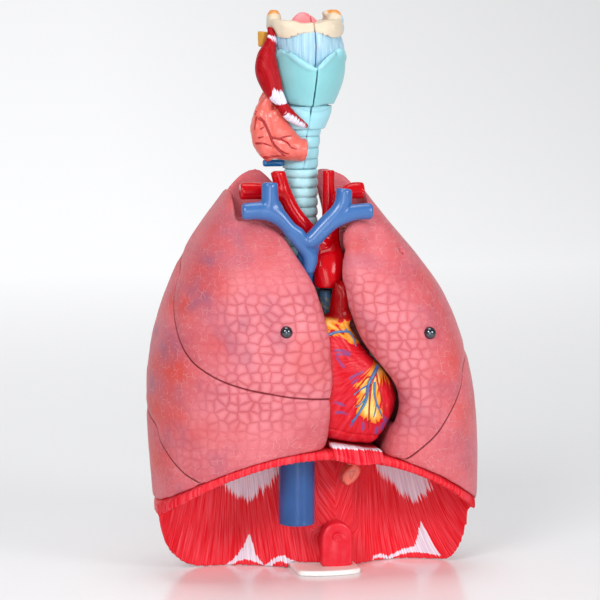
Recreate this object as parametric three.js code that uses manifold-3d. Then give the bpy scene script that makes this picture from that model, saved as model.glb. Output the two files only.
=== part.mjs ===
// Larynx, heart and lungs model: a life-size teaching model that stands on its diaphragm.
// Millimetres, +Z up. The front faces -Y and the anatomical right side is at -X. The table is Z = 0.
// The front halves of the lungs, the heart and the two halves of the larynx lift off.
import * as THREE from 'three';
import { mergeVertices } from 'three/addons/utils/BufferGeometryUtils.js';
import Module from 'manifold-3d';

const wasm = await Module();
wasm.setup();

// Fits shared by all pieces
const SEAT_GAP = 0.3; // between pieces that touch
const LIFT_GAP = 1.0; // around a piece that slides past another
const BIG = 400; // reach of cutting blocks, past the whole model

// Diaphragm: an arched plate on a curved wall
const RIM_PEAK = 96; // highest point of the plate
const ARCH_RADIUS = 179; // top surface of the plate
const ARCH_CENTRE_Z = RIM_PEAK - ARCH_RADIUS;
const PLATE_THICKNESS = 6;
const PLATE_CENTRE_X = 3;
const PLATE_HALF_WIDTH = 117;
const PLATE_FRONT = 53;
const PLATE_BACK = 50;
const WALL_THICKNESS = 5;
const WALL_END_Y = -4; // where the wall meets the rim at both sides
const WALL_BACK_Y = 34; // deepest part of the two bays
const WALL_SPINE_Y = 3; // front of the bulge over the spine
const SPINE_X = 10;
const WALL_TOP = [-112, 118]; // left and right edge under the rim
const WALL_FOOT = [-72, 103]; // left and right end of the straight lower edge
const WALL_CORNER_HEIGHT = 52;

// Foot plate, boss and screw
const FOOT = { x0: -13, x1: 34, front: -22, back: 46, thickness: 4, lip: 8 };
const BOSS = { x: 18, z: 25, radius: 11.5, front: -8 };
const SCREW = { radius: 3.8, height: 2.2, shank: 2, depth: 5 };

// Lungs: height, then the outer edge, the front medial edge, the front and the back of the section
const LUNG_TOP = 294;
const LUNG_BOTTOM = 34;
const SPLIT_Y = 14; // cut that parts the front halves from the back halves
const SHELL = 3.2; // wall of the hollow front halves
const RIGHT_OUTER = [[34, -111], [75, -115.5], [125, -118], [157, -116.5], [186, -110.5], [217, -99.5],
  [247, -83.5], [271, -65.5], [284, -55.5], [291, -49], [294, -43]];
const RIGHT_FRONT_EDGE = [[34, 0], [101, 0], [112, 5], [147, 6.9], [178, 4], [200, -2.5], [220, -11.4],
  [241, -24], [253, -36], [260, -46], [275, -40], [294, -38]];
const LEFT_OUTER = [[34, 120], [62, 123.6], [94, 122.8], [129, 119.6], [172, 110], [207, 95], [237, 71],
  [265, 46.4], [284, 33], [290, 24], [294, 17]];
const LEFT_FRONT_EDGE = [[34, 50], [84, 48.5], [94, 42.6], [104, 43.8], [118, 51.5], [132, 54.4], [147.6, 48],
  [167, 32], [189, 22], [209, 16.2], [228, 13.1], [243.5, 14.4], [256, 22], [262, 30], [275, 16], [294, 10]];
const LUNG_FRONT = [[34, -46], [70, -50], [110, -58], [150, -62], [190, -60], [220, -51], [245, -38],
  [268, -22], [285, -8], [294, 1]];
const LUNG_BACK = [[34, 44], [70, 50], [120, 58], [160, 60], [205, 55], [245, 44], [270, 31], [286, 21], [294, 12]];
const RIGHT_BACK_EDGE = -6; // flat medial faces of the back halves
const LEFT_BACK_EDGE = 21;
const RIGHT_APEX_EDGE = [[34, -3], [236, -3], [262, -12], [280, -24], [294, -34]]; // medial side towards the apex
const LEFT_APEX_EDGE = [[34, 18], [236, 18], [262, 13], [280, 7], [294, 4]];
const LUNG_SIDES = 26;
const LUNG_LEVELS = 14;
const APEX_CUT = { rightX: -58.8, leftX: 37, z: 257.2 }; // the front halves leave the vessels free here
// Opening in the medial wall of the front halves, deeper on the left, where the heart lies against it
const HILUM = { z0: 112, z1: 238, rightX: -25, rightY: -3, leftX: 60, leftY: -35 };
const ARCH_ROOM = { z0: 198, z1: 250, y: -35.5 }; // the left front half leaves the aorta free behind its edge
const CAVA_ROOM = { z0: 198, z1: 233, z2: 250, y: -36, upperY: -16 }; // and the right one the great vein and windpipe

// Studs on the lungs and the posts behind them
const STUDS = { right: [-30.3, 182.5], left: [73, 179] };
const STUD = { radius: 4.6, height: 3.2, shank: 2.2, depth: 9 };
const POST_RADIUS = 4.2;

// Heart: height, then left edge and right edge; the right edge follows the notch of the left lung
const HEART_BOTTOM = 101;
const HEART_TOP = 191;
const HEART_LEFT = [[101, 3], [108, -7], [120, -15], [145, -20], [168, -17], [182, -10], [191, 2]];
const HEART_RIGHT = [[101, 32], [106, 39.5], [114, 44.8], [122, 48], [131, 49.4], [141, 47], [153, 39.5], [167, 28.5],
  [182, 21.5], [191, 16]];
const HEART_FRONT = [[101, -36], [110, -43], [135, -47], [165, -45], [182, -41], [191, -35]];
const HEART_BACK = [[101, -12], [120, -5], [150, -3], [175, -5], [191, -14]];
const HEART_SPLIT_Y = -25;
const HEART_ROOM = 50; // how far behind the heart the right front half stays open
const SEAT = { x0: 5.2, x1: 42, front: -53, back: -8, z: 100 };

// Windpipe and the trunks beside it
const TRACHEA = { x: -7.6, y: -1, radius: 12.6, bore: 9, top: 291.9, bottom: 214, pitch: 7, ridge: 0.9, boreDepth: 46 };
const VEIN = { y: -38, stub: 5.7, limb: 6.5, cava: 7 };
const ARTERY = { y: -20, carotid: 5.2, leftCarotid: 4.4, subclavian: 6.2, arch: 9.5 };
const CAVA = { x: -13.6, y: -15, radius: 13, bore: 10, bottom: 38, boreDepth: 34 };
const GULLET = { radius: 5.6, stub: 7.6, bore: 2.4, stubZ: 61 };
const MEDIASTINUM = { back: 44, top: 238 };
const BRONCHUS = { y: 8.2, radius: 5.4 };

// Larynx
const LARYNX_BOTTOM = 292.4;
const LARYNX_TOP = 390; // top of the airway wall, inside the ring of the hyoid
const SEAM = [[-8, 293], [-5.5, 318], [-3.4, 340], [-1.6, 362], [-1.2, 380], [-3.2, 408]];
const SEAM_GAP = 0.35;
const WALL = [[293, 12.8], [322, 12.8], [334, 15.5], [350, 20.5], [374, 24], [390, 23.4]]; // half width
const LARYNX_AXIS = [[293, -8.4], [322, -5.6], [340, -3.2], [370, -2], [388, -5], [404, -7]];
const LARYNX_Y = -1;
const CRICOID = { z0: 320.5, z1: 337, band: 4 };
const SHIELD = { z0: 336.5, z1: 377, prow: 29, half: 27.4 };
const HYOID = { z0: 384.5, z1: 397.5, half: 27, front: 23, back: 9 };
const EPIGLOTTIS_HEIGHT = 12.4;
const HORN = { x: 20.5, z: 403.4, radius: 5.4 };
const LUMEN = [[293, 9], [325, 9.5], [340, 8], [346, 3.2], [351, 7.5], [356, 4.6], [366, 9], [390, 12.5]];

// Colours and finishes
const finish = (color, roughness = 0.35, metalness = 0) =>
  new THREE.MeshStandardMaterial({ color, roughness, metalness });
const LUNG_PINK = finish(0xe68088, 0.4);
const MUSCLE_RED = finish(0xe0263a, 0.4);
const ARTERY_RED = finish(0xd8051c, 0.2);
const VEIN_BLUE = finish(0x3a66aa, 0.25);
const CARTILAGE = finish(0x86cfd5, 0.4);
const MEMBRANE = finish(0xb9dfee, 0.4);
const BONE = finish(0xf8efe2, 0.4);
const GLAND = finish(0xee8070, 0.35);
const HEART_RED = finish(0xdc2230, 0.25);
const SALMON = finish(0xef6f5f, 0.35);
const FAT = finish(0xe0a038, 0.4);
const AZURE = finish(0x1678be, 0.3);
const WHITE = finish(0xfbf7ee, 0.4);
const STUD_METAL = finish(0x35383c, 0.15, 1);

// Solids from geometries and back
function toSolid(geometry) {
  const bare = geometry.index ? geometry.toNonIndexed() : geometry.clone();
  bare.deleteAttribute('normal');
  bare.deleteAttribute('uv');
  const merged = mergeVertices(bare, 1e-4);
  return new wasm.Manifold(new wasm.Mesh({
    numProp: 3,
    vertProperties: new Float32Array(merged.attributes.position.array),
    triVerts: new Uint32Array(merged.index.array),
  }));
}

function toGeometry(solid) {
  const mesh = solid.getMesh();
  const geometry = new THREE.BufferGeometry();
  geometry.setAttribute('position', new THREE.BufferAttribute(new Float32Array(mesh.vertProperties), 3));
  geometry.setIndex(new THREE.BufferAttribute(new Uint32Array(mesh.triVerts), 1));
  geometry.computeVertexNormals();
  return geometry;
}

// The largest body of a cut solid, without the crumbs that a cut can leave
function mainBody(solid) {
  return solid.decompose().reduce((a, b) => (a.volume() >= b.volume() ? a : b));
}

const cut = (solid, ...tools) => tools.reduce((rest, tool) => rest.subtract(tool), solid);
const join = (...solids) => solids.reduce((all, solid) => all.add(solid));

// Smooth value over height through [z, value] pairs that rise in z
function overHeight(pairs) {
  const last = pairs.length - 1;
  const slopeAt = (i) => {
    const a = pairs[Math.max(i - 1, 0)];
    const b = pairs[Math.min(i + 1, last)];
    return (b[1] - a[1]) / (b[0] - a[0]);
  };
  return (z) => {
    let i = 0;
    while (i < last - 1 && z > pairs[i + 1][0]) i += 1;
    const [z0, v0] = pairs[i];
    const [z1, v1] = pairs[i + 1];
    const h = z1 - z0;
    const t = THREE.MathUtils.clamp((z - z0) / h, 0, 1);
    const t2 = t * t;
    const t3 = t2 * t;
    return (2 * t3 - 3 * t2 + 1) * v0 + (t3 - 2 * t2 + t) * h * slopeAt(i)
      + (3 * t2 - 2 * t3) * v1 + (t3 - t2) * h * slopeAt(i + 1);
  };
}

// Closed skin over rings of equal point counts, with a fan at each end
function loft(rings) {
  const n = rings[0].length;
  const points = rings.flat();
  const indices = [];
  for (let i = 0; i < rings.length - 1; i += 1) {
    for (let j = 0; j < n; j += 1) {
      const a = i * n + j;
      const b = i * n + ((j + 1) % n);
      indices.push(a, b, b + n, a, b + n, a + n);
    }
  }
  for (const [i, flip] of [[0, true], [rings.length - 1, false]]) {
    const centre = rings[i].reduce((sum, p) => sum.clone().add(p)).divideScalar(n);
    points.push(centre);
    const c = points.length - 1;
    for (let j = 0; j < n; j += 1) {
      const a = i * n + j;
      const b = i * n + ((j + 1) % n);
      if (flip) indices.push(c, b, a);
      else indices.push(c, a, b);
    }
  }
  const geometry = new THREE.BufferGeometry().setFromPoints(points);
  geometry.setIndex(indices);
  if (toSolid(geometry).volume() < 0) {
    for (let k = 0; k < indices.length; k += 3) indices.splice(k, 2, indices[k + 1], indices[k]);
    geometry.setIndex(indices);
  }
  return toSolid(geometry);
}

// Oval ring in plan: half width, reach to the front and to the back, and how square each side is
function ovalRing(x, y, z, half, front, back, sides, squareFront = 2, squareBack = 2) {
  const ring = [];
  for (let j = 0; j < sides; j += 1) {
    const angle = (2 * Math.PI * j) / sides;
    const c = Math.cos(angle);
    const s = Math.sin(angle);
    const power = 2 / (s < 0 ? squareFront : squareBack);
    const reach = s < 0 ? front : back;
    ring.push(new THREE.Vector3(x + half * Math.sign(c) * Math.abs(c) ** power,
      y + reach * Math.sign(s) * Math.abs(s) ** power, z));
  }
  return ring;
}

const heights = (z0, z1, count) => Array.from({ length: count }, (_, i) => z0 + ((z1 - z0) * i) / (count - 1));

// Round tube along a curve with a radius that changes from start to end
function tube(points, radii, sides = 10, steps = 8) {
  const curve = new THREE.CatmullRomCurve3(points.map((p) => new THREE.Vector3(...p)), false, 'centripetal');
  const frames = curve.computeFrenetFrames(steps, false);
  const radiusAt = (t) => {
    const place = t * (radii.length - 1);
    const i = Math.min(Math.floor(place), radii.length - 2);
    return THREE.MathUtils.lerp(radii[i], radii[i + 1], place - i);
  };
  const rings = [];
  for (let i = 0; i <= steps; i += 1) {
    const t = i / steps;
    const centre = curve.getPointAt(t);
    const ring = [];
    for (let j = 0; j < sides; j += 1) {
      const angle = (2 * Math.PI * j) / sides;
      ring.push(centre.clone()
        .addScaledVector(frames.normals[i], radiusAt(t) * Math.cos(angle))
        .addScaledVector(frames.binormals[i], radiusAt(t) * Math.sin(angle)));
    }
    rings.push(ring);
  }
  return loft(rings);
}

// Block, upright cylinder, cylinder along Y, and an outline in front view pushed through in depth
function block(x0, x1, y0, y1, z0, z1) {
  const box = new THREE.BoxGeometry(x1 - x0, y1 - y0, z1 - z0);
  return toSolid(box.translate((x0 + x1) / 2, (y0 + y1) / 2, (z0 + z1) / 2));
}

function cylinderAlongY(x, z, radius, y0, y1, sides = 16) {
  return toSolid(new THREE.CylinderGeometry(radius, radius, y1 - y0, sides).translate(x, (y0 + y1) / 2, z));
}

function uprightCylinder(x, y, radius, z0, z1, sides = 24) {
  const geometry = new THREE.CylinderGeometry(radius, radius, z1 - z0, sides).rotateX(Math.PI / 2);
  return toSolid(geometry.translate(x, y, (z0 + z1) / 2));
}

function frontSlab(outline, y0, y1) {
  const shape = new THREE.Shape(outline.map(([x, z]) => new THREE.Vector2(x, z)));
  const geometry = new THREE.ExtrudeGeometry(shape, { depth: y1 - y0, bevelEnabled: false });
  return toSolid(geometry.rotateX(Math.PI / 2).translate(0, y1, 0));
}

function planSlab(outline, z0, z1) {
  const shape = new THREE.Shape(outline.map(([x, y]) => new THREE.Vector2(x, y)));
  return toSolid(new THREE.ExtrudeGeometry(shape, { depth: z1 - z0, bevelEnabled: false }).translate(0, 0, z0));
}

// Space under the arch, out to a radius
function underArch(radius) {
  return cylinderAlongY(0, ARCH_CENTRE_Z, radius, -BIG, BIG, 64);
}

// The diaphragm: plate, curved wall with rounded lower corners, and clearances for what passes through
function wallDepth(x) {
  const half = (WALL_TOP[1] - WALL_TOP[0]) / 2;
  const centre = (WALL_TOP[1] + WALL_TOP[0]) / 2;
  const side = Math.min(Math.abs(x - centre) / half, 1);
  const rim = side ** 5 * (WALL_BACK_Y - WALL_END_Y);
  const spine = (WALL_BACK_Y - WALL_SPINE_Y) * Math.exp(-(((x - SPINE_X) / 42) ** 2));
  return WALL_BACK_Y - rim - spine;
}

function wallSheet() {
  const steps = 28;
  const xs = heights(WALL_TOP[0], WALL_TOP[1], steps + 1);
  const inner = xs.map((x) => [x, wallDepth(x)]);
  const outer = xs.map((x, i) => {
    const slope = (wallDepth(x + 0.5) - wallDepth(x - 0.5));
    const length = Math.hypot(1, slope);
    const ends = i === 0 || i === steps;
    return ends ? [x, wallDepth(x) + WALL_THICKNESS]
      : [x - (slope / length) * WALL_THICKNESS, wallDepth(x) + WALL_THICKNESS / length];
  });
  return planSlab([...inner, ...outer.reverse()], 0, RIM_PEAK);
}

function wallOutline() {
  const corner = (foot, top) => {
    const arc = [];
    for (let i = 0; i <= 8; i += 1) {
      const angle = (Math.PI / 2) * (i / 8);
      arc.push([foot + (top - foot) * Math.sin(angle), WALL_CORNER_HEIGHT * (1 - Math.cos(angle))]);
    }
    return arc;
  };
  return [...corner(WALL_FOOT[1], WALL_TOP[1]), [WALL_TOP[1], RIM_PEAK], [WALL_TOP[0], RIM_PEAK],
    ...corner(WALL_FOOT[0], WALL_TOP[0]).reverse()];
}

function diaphragm() {
  const rim = ovalRing(PLATE_CENTRE_X, 0, 0, PLATE_HALF_WIDTH, PLATE_FRONT, PLATE_BACK, 48, 2.7, 2.7);
  const plate = planSlab(rim.map((p) => [p.x, p.y]), 20, BIG)
    .intersect(underArch(ARCH_RADIUS))
    .subtract(underArch(ARCH_RADIUS - PLATE_THICKNESS));
  const wall = wallSheet().intersect(frontSlab(wallOutline(), -BIG, BIG)).intersect(underArch(ARCH_RADIUS - 2));
  return mainBody(cut(join(plate, wall), footPlate(SEAT_GAP), gullet(SEAT_GAP)));
}

// White plate under the middle of the wall, with a rounded lip at the front
function footPlate(grow = 0) {
  const { x0, x1, front, back, thickness, lip } = FOOT;
  const middle = (x0 + x1) / 2;
  const half = (x1 - x0) / 2 + grow;
  const front2 = front - grow;
  const outline = [[middle + half, back + grow], [middle - half, back + grow]];
  for (let i = 0; i <= 12; i += 1) {
    const angle = Math.PI * (i / 12);
    outline.push([middle - half * Math.cos(angle), front2 + lip - lip * Math.sin(angle)]);
  }
  return planSlab(outline.reverse(), -grow, thickness + grow);
}

function bossOutline(grow) {
  const outline = [[BOSS.x + BOSS.radius + grow, FOOT.thickness + SEAT_GAP - grow]];
  for (let i = 0; i <= 10; i += 1) {
    const angle = Math.PI * (i / 10);
    outline.push([BOSS.x + (BOSS.radius + grow) * Math.cos(angle), BOSS.z + (BOSS.radius + grow) * Math.sin(angle)]);
  }
  outline.push([BOSS.x - BOSS.radius - grow, FOOT.thickness + SEAT_GAP - grow]);
  return outline;
}

function boss() {
  const full = frontSlab(bossOutline(0), BOSS.front, WALL_BACK_Y);
  const recess = cylinderAlongY(BOSS.x, BOSS.z, SCREW.radius + 1.6, BOSS.front - 1, BOSS.front + 1.4);
  const hole = cylinderAlongY(BOSS.x, BOSS.z, SCREW.shank + SEAT_GAP, BOSS.front - 1, BOSS.front + 2 + SCREW.depth);
  const behind = planSlab([[-BIG, BIG], ...heights(-60, 80, 24).map((x) => [x, wallDepth(x) - SEAT_GAP]), [BIG, BIG]],
    -1, BIG);
  return mainBody(cut(full, recess, hole, behind));
}

// Round-headed pin along Y, head to the front, with its seat at y
function roundHead(x, z, y, radius, height, shank, depth) {
  const profile = [new THREE.Vector2(0, depth), new THREE.Vector2(shank, depth), new THREE.Vector2(shank, 0),
    new THREE.Vector2(radius, 0)];
  for (let i = 1; i <= 4; i += 1) {
    const angle = (Math.PI / 2) * (i / 4);
    profile.push(new THREE.Vector2(i === 4 ? 0 : radius * Math.cos(angle), -height * Math.sin(angle)));
  }
  return toSolid(new THREE.LatheGeometry(profile.reverse(), 10)).translate([x, y, z]);
}

// Lungs
const lungFront = overHeight(LUNG_FRONT);
const lungBack = overHeight(LUNG_BACK);
const LUNG_SHAPES = {
  right: { outer: overHeight(RIGHT_OUTER), edge: overHeight(RIGHT_FRONT_EDGE),
    backEdge: overHeight(RIGHT_APEX_EDGE), out: -1 },
  left: { outer: overHeight(LEFT_OUTER), edge: overHeight(LEFT_FRONT_EDGE), backEdge: overHeight(LEFT_APEX_EDGE), out: 1 },
};

// One level of a lung: a closed curve with a blunt front edge beside the heart and a round outer side
function lungRing(shape, z, half, inset) {
  const outer = shape.outer(z) - shape.out * inset;
  const edge = shape.edge(z) + shape.out * inset;
  const medial = half === 'front' ? edge + shape.out * 1.5 : shape.backEdge(z);
  const front = lungFront(z) + inset;
  const back = lungBack(z) - inset;
  const width = outer - edge;
  const points = [
    [outer, 4],
    [outer - width * 0.09, front * 0.5],
    [outer - width * 0.34, front * 0.9],
    [edge + width * 0.36, front * 1.0],
    [edge + width * 0.1, front * 0.93],
    [half === 'front' ? edge : medial, front * 0.74],
    [medial, 4],
    [medial, back * 0.72],
    [medial + (outer - medial) * 0.3, back],
    [outer - (outer - medial) * 0.22, back * 0.82],
    [outer - (outer - medial) * 0.03, back * 0.42],
  ].map(([x, y]) => new THREE.Vector3(x, y, z));
  return new THREE.CatmullRomCurve3(points, true, 'centripetal').getPoints(LUNG_SIDES).slice(0, LUNG_SIDES);
}

function lungForm(side, half, inset = 0) {
  const shape = LUNG_SHAPES[side];
  const levels = Array.from({ length: LUNG_LEVELS }, (_, i) => {
    const t = i / (LUNG_LEVELS - 1);
    return LUNG_BOTTOM + (LUNG_TOP - inset - LUNG_BOTTOM) * Math.sin((Math.PI / 2) * t ** 1.1) ** 0.96;
  });
  return loft(levels.map((z) => lungRing(shape, z, half, inset)));
}

// Space in front of the apex that the vessels of the neck take
function apexCut(side, grow = 0) {
  return side === 'right'
    ? block(APEX_CUT.rightX - grow, BIG, -BIG, BIG, APEX_CUT.z - grow, BIG)
    : block(-BIG, APEX_CUT.leftX + grow, -BIG, BIG, APEX_CUT.z - grow, BIG);
}

function hilumCut(side) {
  if (side === 'right') {
    return join(block(HILUM.rightX, BIG, HILUM.rightY, BIG, HILUM.z0, HILUM.z1),
      block(HILUM.rightX, BIG, CAVA_ROOM.y, BIG, CAVA_ROOM.z0, CAVA_ROOM.z1),
      block(HILUM.rightX, BIG, CAVA_ROOM.upperY, BIG, CAVA_ROOM.z1, CAVA_ROOM.z2));
  }
  return join(block(-BIG, HILUM.leftX, HILUM.leftY, BIG, HILUM.z0, HILUM.z1),
    block(-BIG, HILUM.leftX / 2, ARCH_ROOM.y, BIG, ARCH_ROOM.z0, ARCH_ROOM.z1));
}

function lungFrontHalf(side) {
  const [postX, postZ] = STUDS[side];
  const outer = lungForm(side, 'front')
    .subtract(underArch(ARCH_RADIUS + SEAT_GAP))
    .subtract(apexCut(side))
    .subtract(block(-BIG, BIG, SPLIT_Y, BIG, -BIG, BIG));
  const hollow = lungForm(side, 'front', SHELL)
    .subtract(underArch(ARCH_RADIUS + SEAT_GAP + SHELL))
    .subtract(apexCut(side, SHELL));
  const post = cylinderAlongY(postX, postZ, POST_RADIUS, lungFront(postZ), SPLIT_Y).intersect(outer);
  const shell = join(cut(outer, hollow), post);
  const holeEnd = studSeat(side) + STUD.depth;
  const hole = cylinderAlongY(postX, postZ, STUD.shank + SEAT_GAP, -BIG, holeEnd + 1);
  const rooms = [hole, studPocket(side), hilumCut(side), heartTrunks(LIFT_GAP)];
  if (side === 'right') rooms.push(heartForm(LIFT_GAP, HEART_ROOM));
  return mainBody(cut(shell, ...rooms));
}

// Where the head of a stud rests on the curved lung, measured at its centre
function studSeat(side) {
  const [x, z] = STUDS[side];
  const probe = cylinderAlongY(x, z, STUD.radius, -BIG, 0).intersect(lungForm(side, 'front'));
  return probe.boundingBox().min[1] + 1.2;
}

function studPocket(side) {
  const [x, z] = STUDS[side];
  return cylinderAlongY(x, z, STUD.radius + SEAT_GAP, -BIG, studSeat(side) + SEAT_GAP);
}

function stud(side) {
  const [x, z] = STUDS[side];
  return roundHead(x, z, studSeat(side), STUD.radius, STUD.height, STUD.shank, STUD.depth);
}

function lungBackHalf(side) {
  const behind = lungForm(side, 'back').subtract(block(-BIG, BIG, -BIG, SPLIT_Y + SEAT_GAP, -BIG, BIG));
  const apex = lungForm(side, 'back').subtract(block(-BIG, BIG, SPLIT_Y, BIG, -BIG, BIG))
    .intersect(apexCut(side, -SEAT_GAP));
  const neck = uprightCylinder(TRACHEA.x, TRACHEA.y + 2, TRACHEA.radius + 3, APEX_CUT.z - 30, BIG);
  return mainBody(cut(join(behind, apex), underArch(ARCH_RADIUS + SEAT_GAP), neck, neckVesselRoom(0.5),
    medialBlock(), gullet(SEAT_GAP)));
}

// Middle of the chest between the two back halves, which carries the windpipe and the vessels
function medialBlock() {
  return block(RIGHT_BACK_EDGE, LEFT_BACK_EDGE, -BIG, BIG, -BIG, MEDIASTINUM.top + SEAT_GAP);
}

function mediastinum() {
  const { back, top } = MEDIASTINUM;
  const front = SPLIT_Y + SEAT_GAP;
  const full = block(RIGHT_BACK_EDGE + SEAT_GAP, LEFT_BACK_EDGE - SEAT_GAP, front, back, 40, top);
  const tracheaRoom = tracheaForm(SEAT_GAP, TRACHEA.bottom - SEAT_GAP, TRACHEA.top);
  return mainBody(cut(full, underArch(ARCH_RADIUS + SEAT_GAP), tracheaRoom, gullet(SEAT_GAP), aorta(SEAT_GAP),
    bronchialTree('right', SEAT_GAP), bronchialTree('left', SEAT_GAP)));
}

// Heart
const heartLeft = overHeight(HEART_LEFT);
const heartRight = overHeight(HEART_RIGHT);
const heartFrontAt = overHeight(HEART_FRONT);
const heartBackAt = overHeight(HEART_BACK);

function heartForm(grow = 0, backReach = 0) {
  const levels = heights(0, 1, 10).map((t) => {
    const s = (1 - Math.cos(Math.PI * t)) / 2;
    return HEART_BOTTOM + (HEART_TOP - HEART_BOTTOM) * THREE.MathUtils.lerp(t, s, 0.6);
  });
  return loft(levels.map((z, i) => {
    const left = heartLeft(z) - grow;
    const right = heartRight(z) + grow;
    const front = heartFrontAt(z) - grow;
    const back = heartBackAt(z) + grow + backReach;
    const y = (heartFrontAt(z) + heartBackAt(z)) / 2;
    const level = z + (i === 0 ? -grow : 0) + (i === levels.length - 1 ? grow : 0);
    return ovalRing((left + right) / 2, y, level, (right - left) / 2, y - front, back - y, 18, 2.3, backReach ? 6 : 2.2);
  }));
}

// Stumps on top of the heart: the red trunk and the root of the aorta
function heartTrunks(grow = 0) {
  const trunk = tube([[13, -31, 178], [11.8, -35, 196], [10.4, -38.2, 214 + grow]], [9 + grow, 6 + grow, 2.7 + grow], 10, 4);
  const root = tube([[6.2, -19, 178], [6.4, -19, 195], [6.6, -19, 207 + grow]], [5.4 + grow, 5.4 + grow, 5.4 + grow], 10, 3);
  return join(trunk, root);
}

// Four chambers as hollows in the cut face, with walls between them
function heartChambers() {
  const hollow = (x, z, half, tall, depth) => {
    const ball = new THREE.SphereGeometry(1, 10, 8).scale(half, depth, tall);
    return toSolid(ball).translate([x, HEART_SPLIT_Y, z]);
  };
  return [hollow(-3, 132, 10, 17, 9), hollow(29, 131, 13, 19, 10), hollow(-4, 163, 9, 9, 8), hollow(20, 162, 8, 8, 7)];
}

function heartHalf(part) {
  const all = cut(join(heartForm(), heartTrunks()), heartSeatForm(LIFT_GAP));
  const front = block(-BIG, BIG, -BIG, HEART_SPLIT_Y - SEAT_GAP / 2, -BIG, BIG);
  const back = block(-BIG, BIG, HEART_SPLIT_Y + SEAT_GAP / 2, BIG, -BIG, BIG);
  return mainBody(cut(all.intersect(part === 'front' ? front : back), ...heartChambers()));
}

// Red block on the rim that the heart stands on
function heartSeatForm(grow = 0) {
  const { x0, x1, front, back, z } = SEAT;
  const outline = [[x0 - grow, 60], [x1 + grow, 60], [x1 + grow, z - 5.5 + grow], [x1 - 9, z - 5 + grow],
    [x0 + 8, z - 1 + grow], [x0 - grow, z + grow]];
  return frontSlab(outline, front - grow, back + grow);
}

function heartSeat() {
  return mainBody(heartSeatForm().subtract(underArch(ARCH_RADIUS + SEAT_GAP)).subtract(gullet(SEAT_GAP)));
}

// Windpipe with its rings; the same form gives the clearance around it
function tracheaForm(grow, z0, z1) {
  const { x, y, radius, pitch, ridge } = TRACHEA;
  const count = Math.round(((z1 - z0) / pitch) * 3);
  return loft(heights(z0, z1, count + 1).map((z) => {
    const swell = grow ? ridge : ridge * Math.sqrt(Math.abs(Math.sin((Math.PI * (z1 - z)) / pitch)));
    return ovalRing(x, y + ((TRACHEA.top - z) / 80) * 4, z, radius - ridge + swell + grow,
      radius - ridge + swell + grow, radius - 2 + grow, 14);
  }));
}

function trachea() {
  const { x, y, bore, top, bottom, boreDepth } = TRACHEA;
  const lumen = uprightCylinder(x, y + 1, bore, top - boreDepth, top + 1, 14);
  return mainBody(cut(tracheaForm(0, bottom, top), lumen, gullet(SEAT_GAP)));
}

// A bronchial tree: each twig forks in two, thinner and shorter, in the plane of the cut
function twig(start, angle, length, radius, depth, grow) {
  const y = start[1];
  const end = [start[0] + length * Math.cos(angle), y, start[2] + length * Math.sin(angle)];
  const solid = tube([start, end], [radius + grow, radius * 0.78 + grow], 5, 1);
  if (depth === 0) return solid;
  const fork = 0.5;
  return join(solid,
    twig(end, angle + fork, length * 0.78, radius * 0.76, depth - 1, grow),
    twig(end, angle - fork * 0.8, length * 0.86, radius * 0.76, depth - 1, grow));
}

const TREES = {
  right: { hilum: [-27, 200], upper: [2.1, 16], lower: [-2.36, 30], middle: [-3.0, 22] },
  left: { hilum: [38, 200], upper: [1.1, 15], lower: [-1.2, 28], middle: [0.12, 19] },
};

function bronchialTree(side, grow = 0) {
  const tree = TREES[side];
  const { y, radius } = BRONCHUS;
  const hub = [tree.hilum[0], y, tree.hilum[1]];
  const medialX = TRACHEA.x + (side === 'right' ? -SEAT_GAP / 2 : SEAT_GAP / 2);
  const main = tube([[TRACHEA.x + (side === 'right' ? 8 : -8), 5, TRACHEA.bottom - 5], hub],
    [6.4 + grow, radius + grow], 10, 3);
  const keep = side === 'right' ? block(-BIG, medialX + grow, -BIG, BIG, -BIG, TRACHEA.bottom - SEAT_GAP + grow)
    : block(medialX - grow, BIG, -BIG, BIG, -BIG, TRACHEA.bottom - SEAT_GAP + grow);
  const face = block(-BIG, BIG, -BIG, SPLIT_Y, -BIG, BIG);
  const branches = ['upper', 'middle', 'lower'].map((name) =>
    twig(hub, tree[name][0], tree[name][1], radius * 0.8, name === 'lower' ? 2 : 1, grow));
  return mainBody(join(main.intersect(keep), ...branches).intersect(face));
}

// Neck vessels: the blue trunks in front, the red arteries behind them
function veins(grow = 0) {
  const { y, stub, limb, cava } = VEIN;
  const s = stub + grow;
  const l = limb + grow;
  return join(
    tube([[-37.9, y, 285.2 + grow], [-38, y, 268]], [s, s], 10, 1),
    tube([[-57.4 - grow, y, 265.5], [-38, y, 265.5], [-24, y, 258.5], [-10, y, 246]], [s, l, l, l], 10, 5),
    tube([[15.4, y, 280 + grow], [14, y, 268], [4, y, 257], [-8, y, 245]], [s, s, l, l], 10, 5),
    tube([[35 + grow, y, 264], [24, y, 264], [14, y, 261], [4, y, 256]], [s, s, s, s], 10, 4),
    tube([[-9, y, 250], [-9.3, y + 3, 238], [-10.5, y + 12, 222], [-11, y + 15, 203]], [l, l + 1, cava + grow, cava + grow],
      10, 4),
  );
}

function aorta(grow = 0) {
  const r = ARTERY.arch + grow;
  return tube([[6.6, -24, 209.5 - grow], [6.8, -23.5, 222], [8, -18, 233], [10.5, 0, 234], [10.5, 18, 226],
    [10.5, 26, 205]], [r, r, r, r, r * 0.95, r * 0.9], 12, 9);
}

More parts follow.
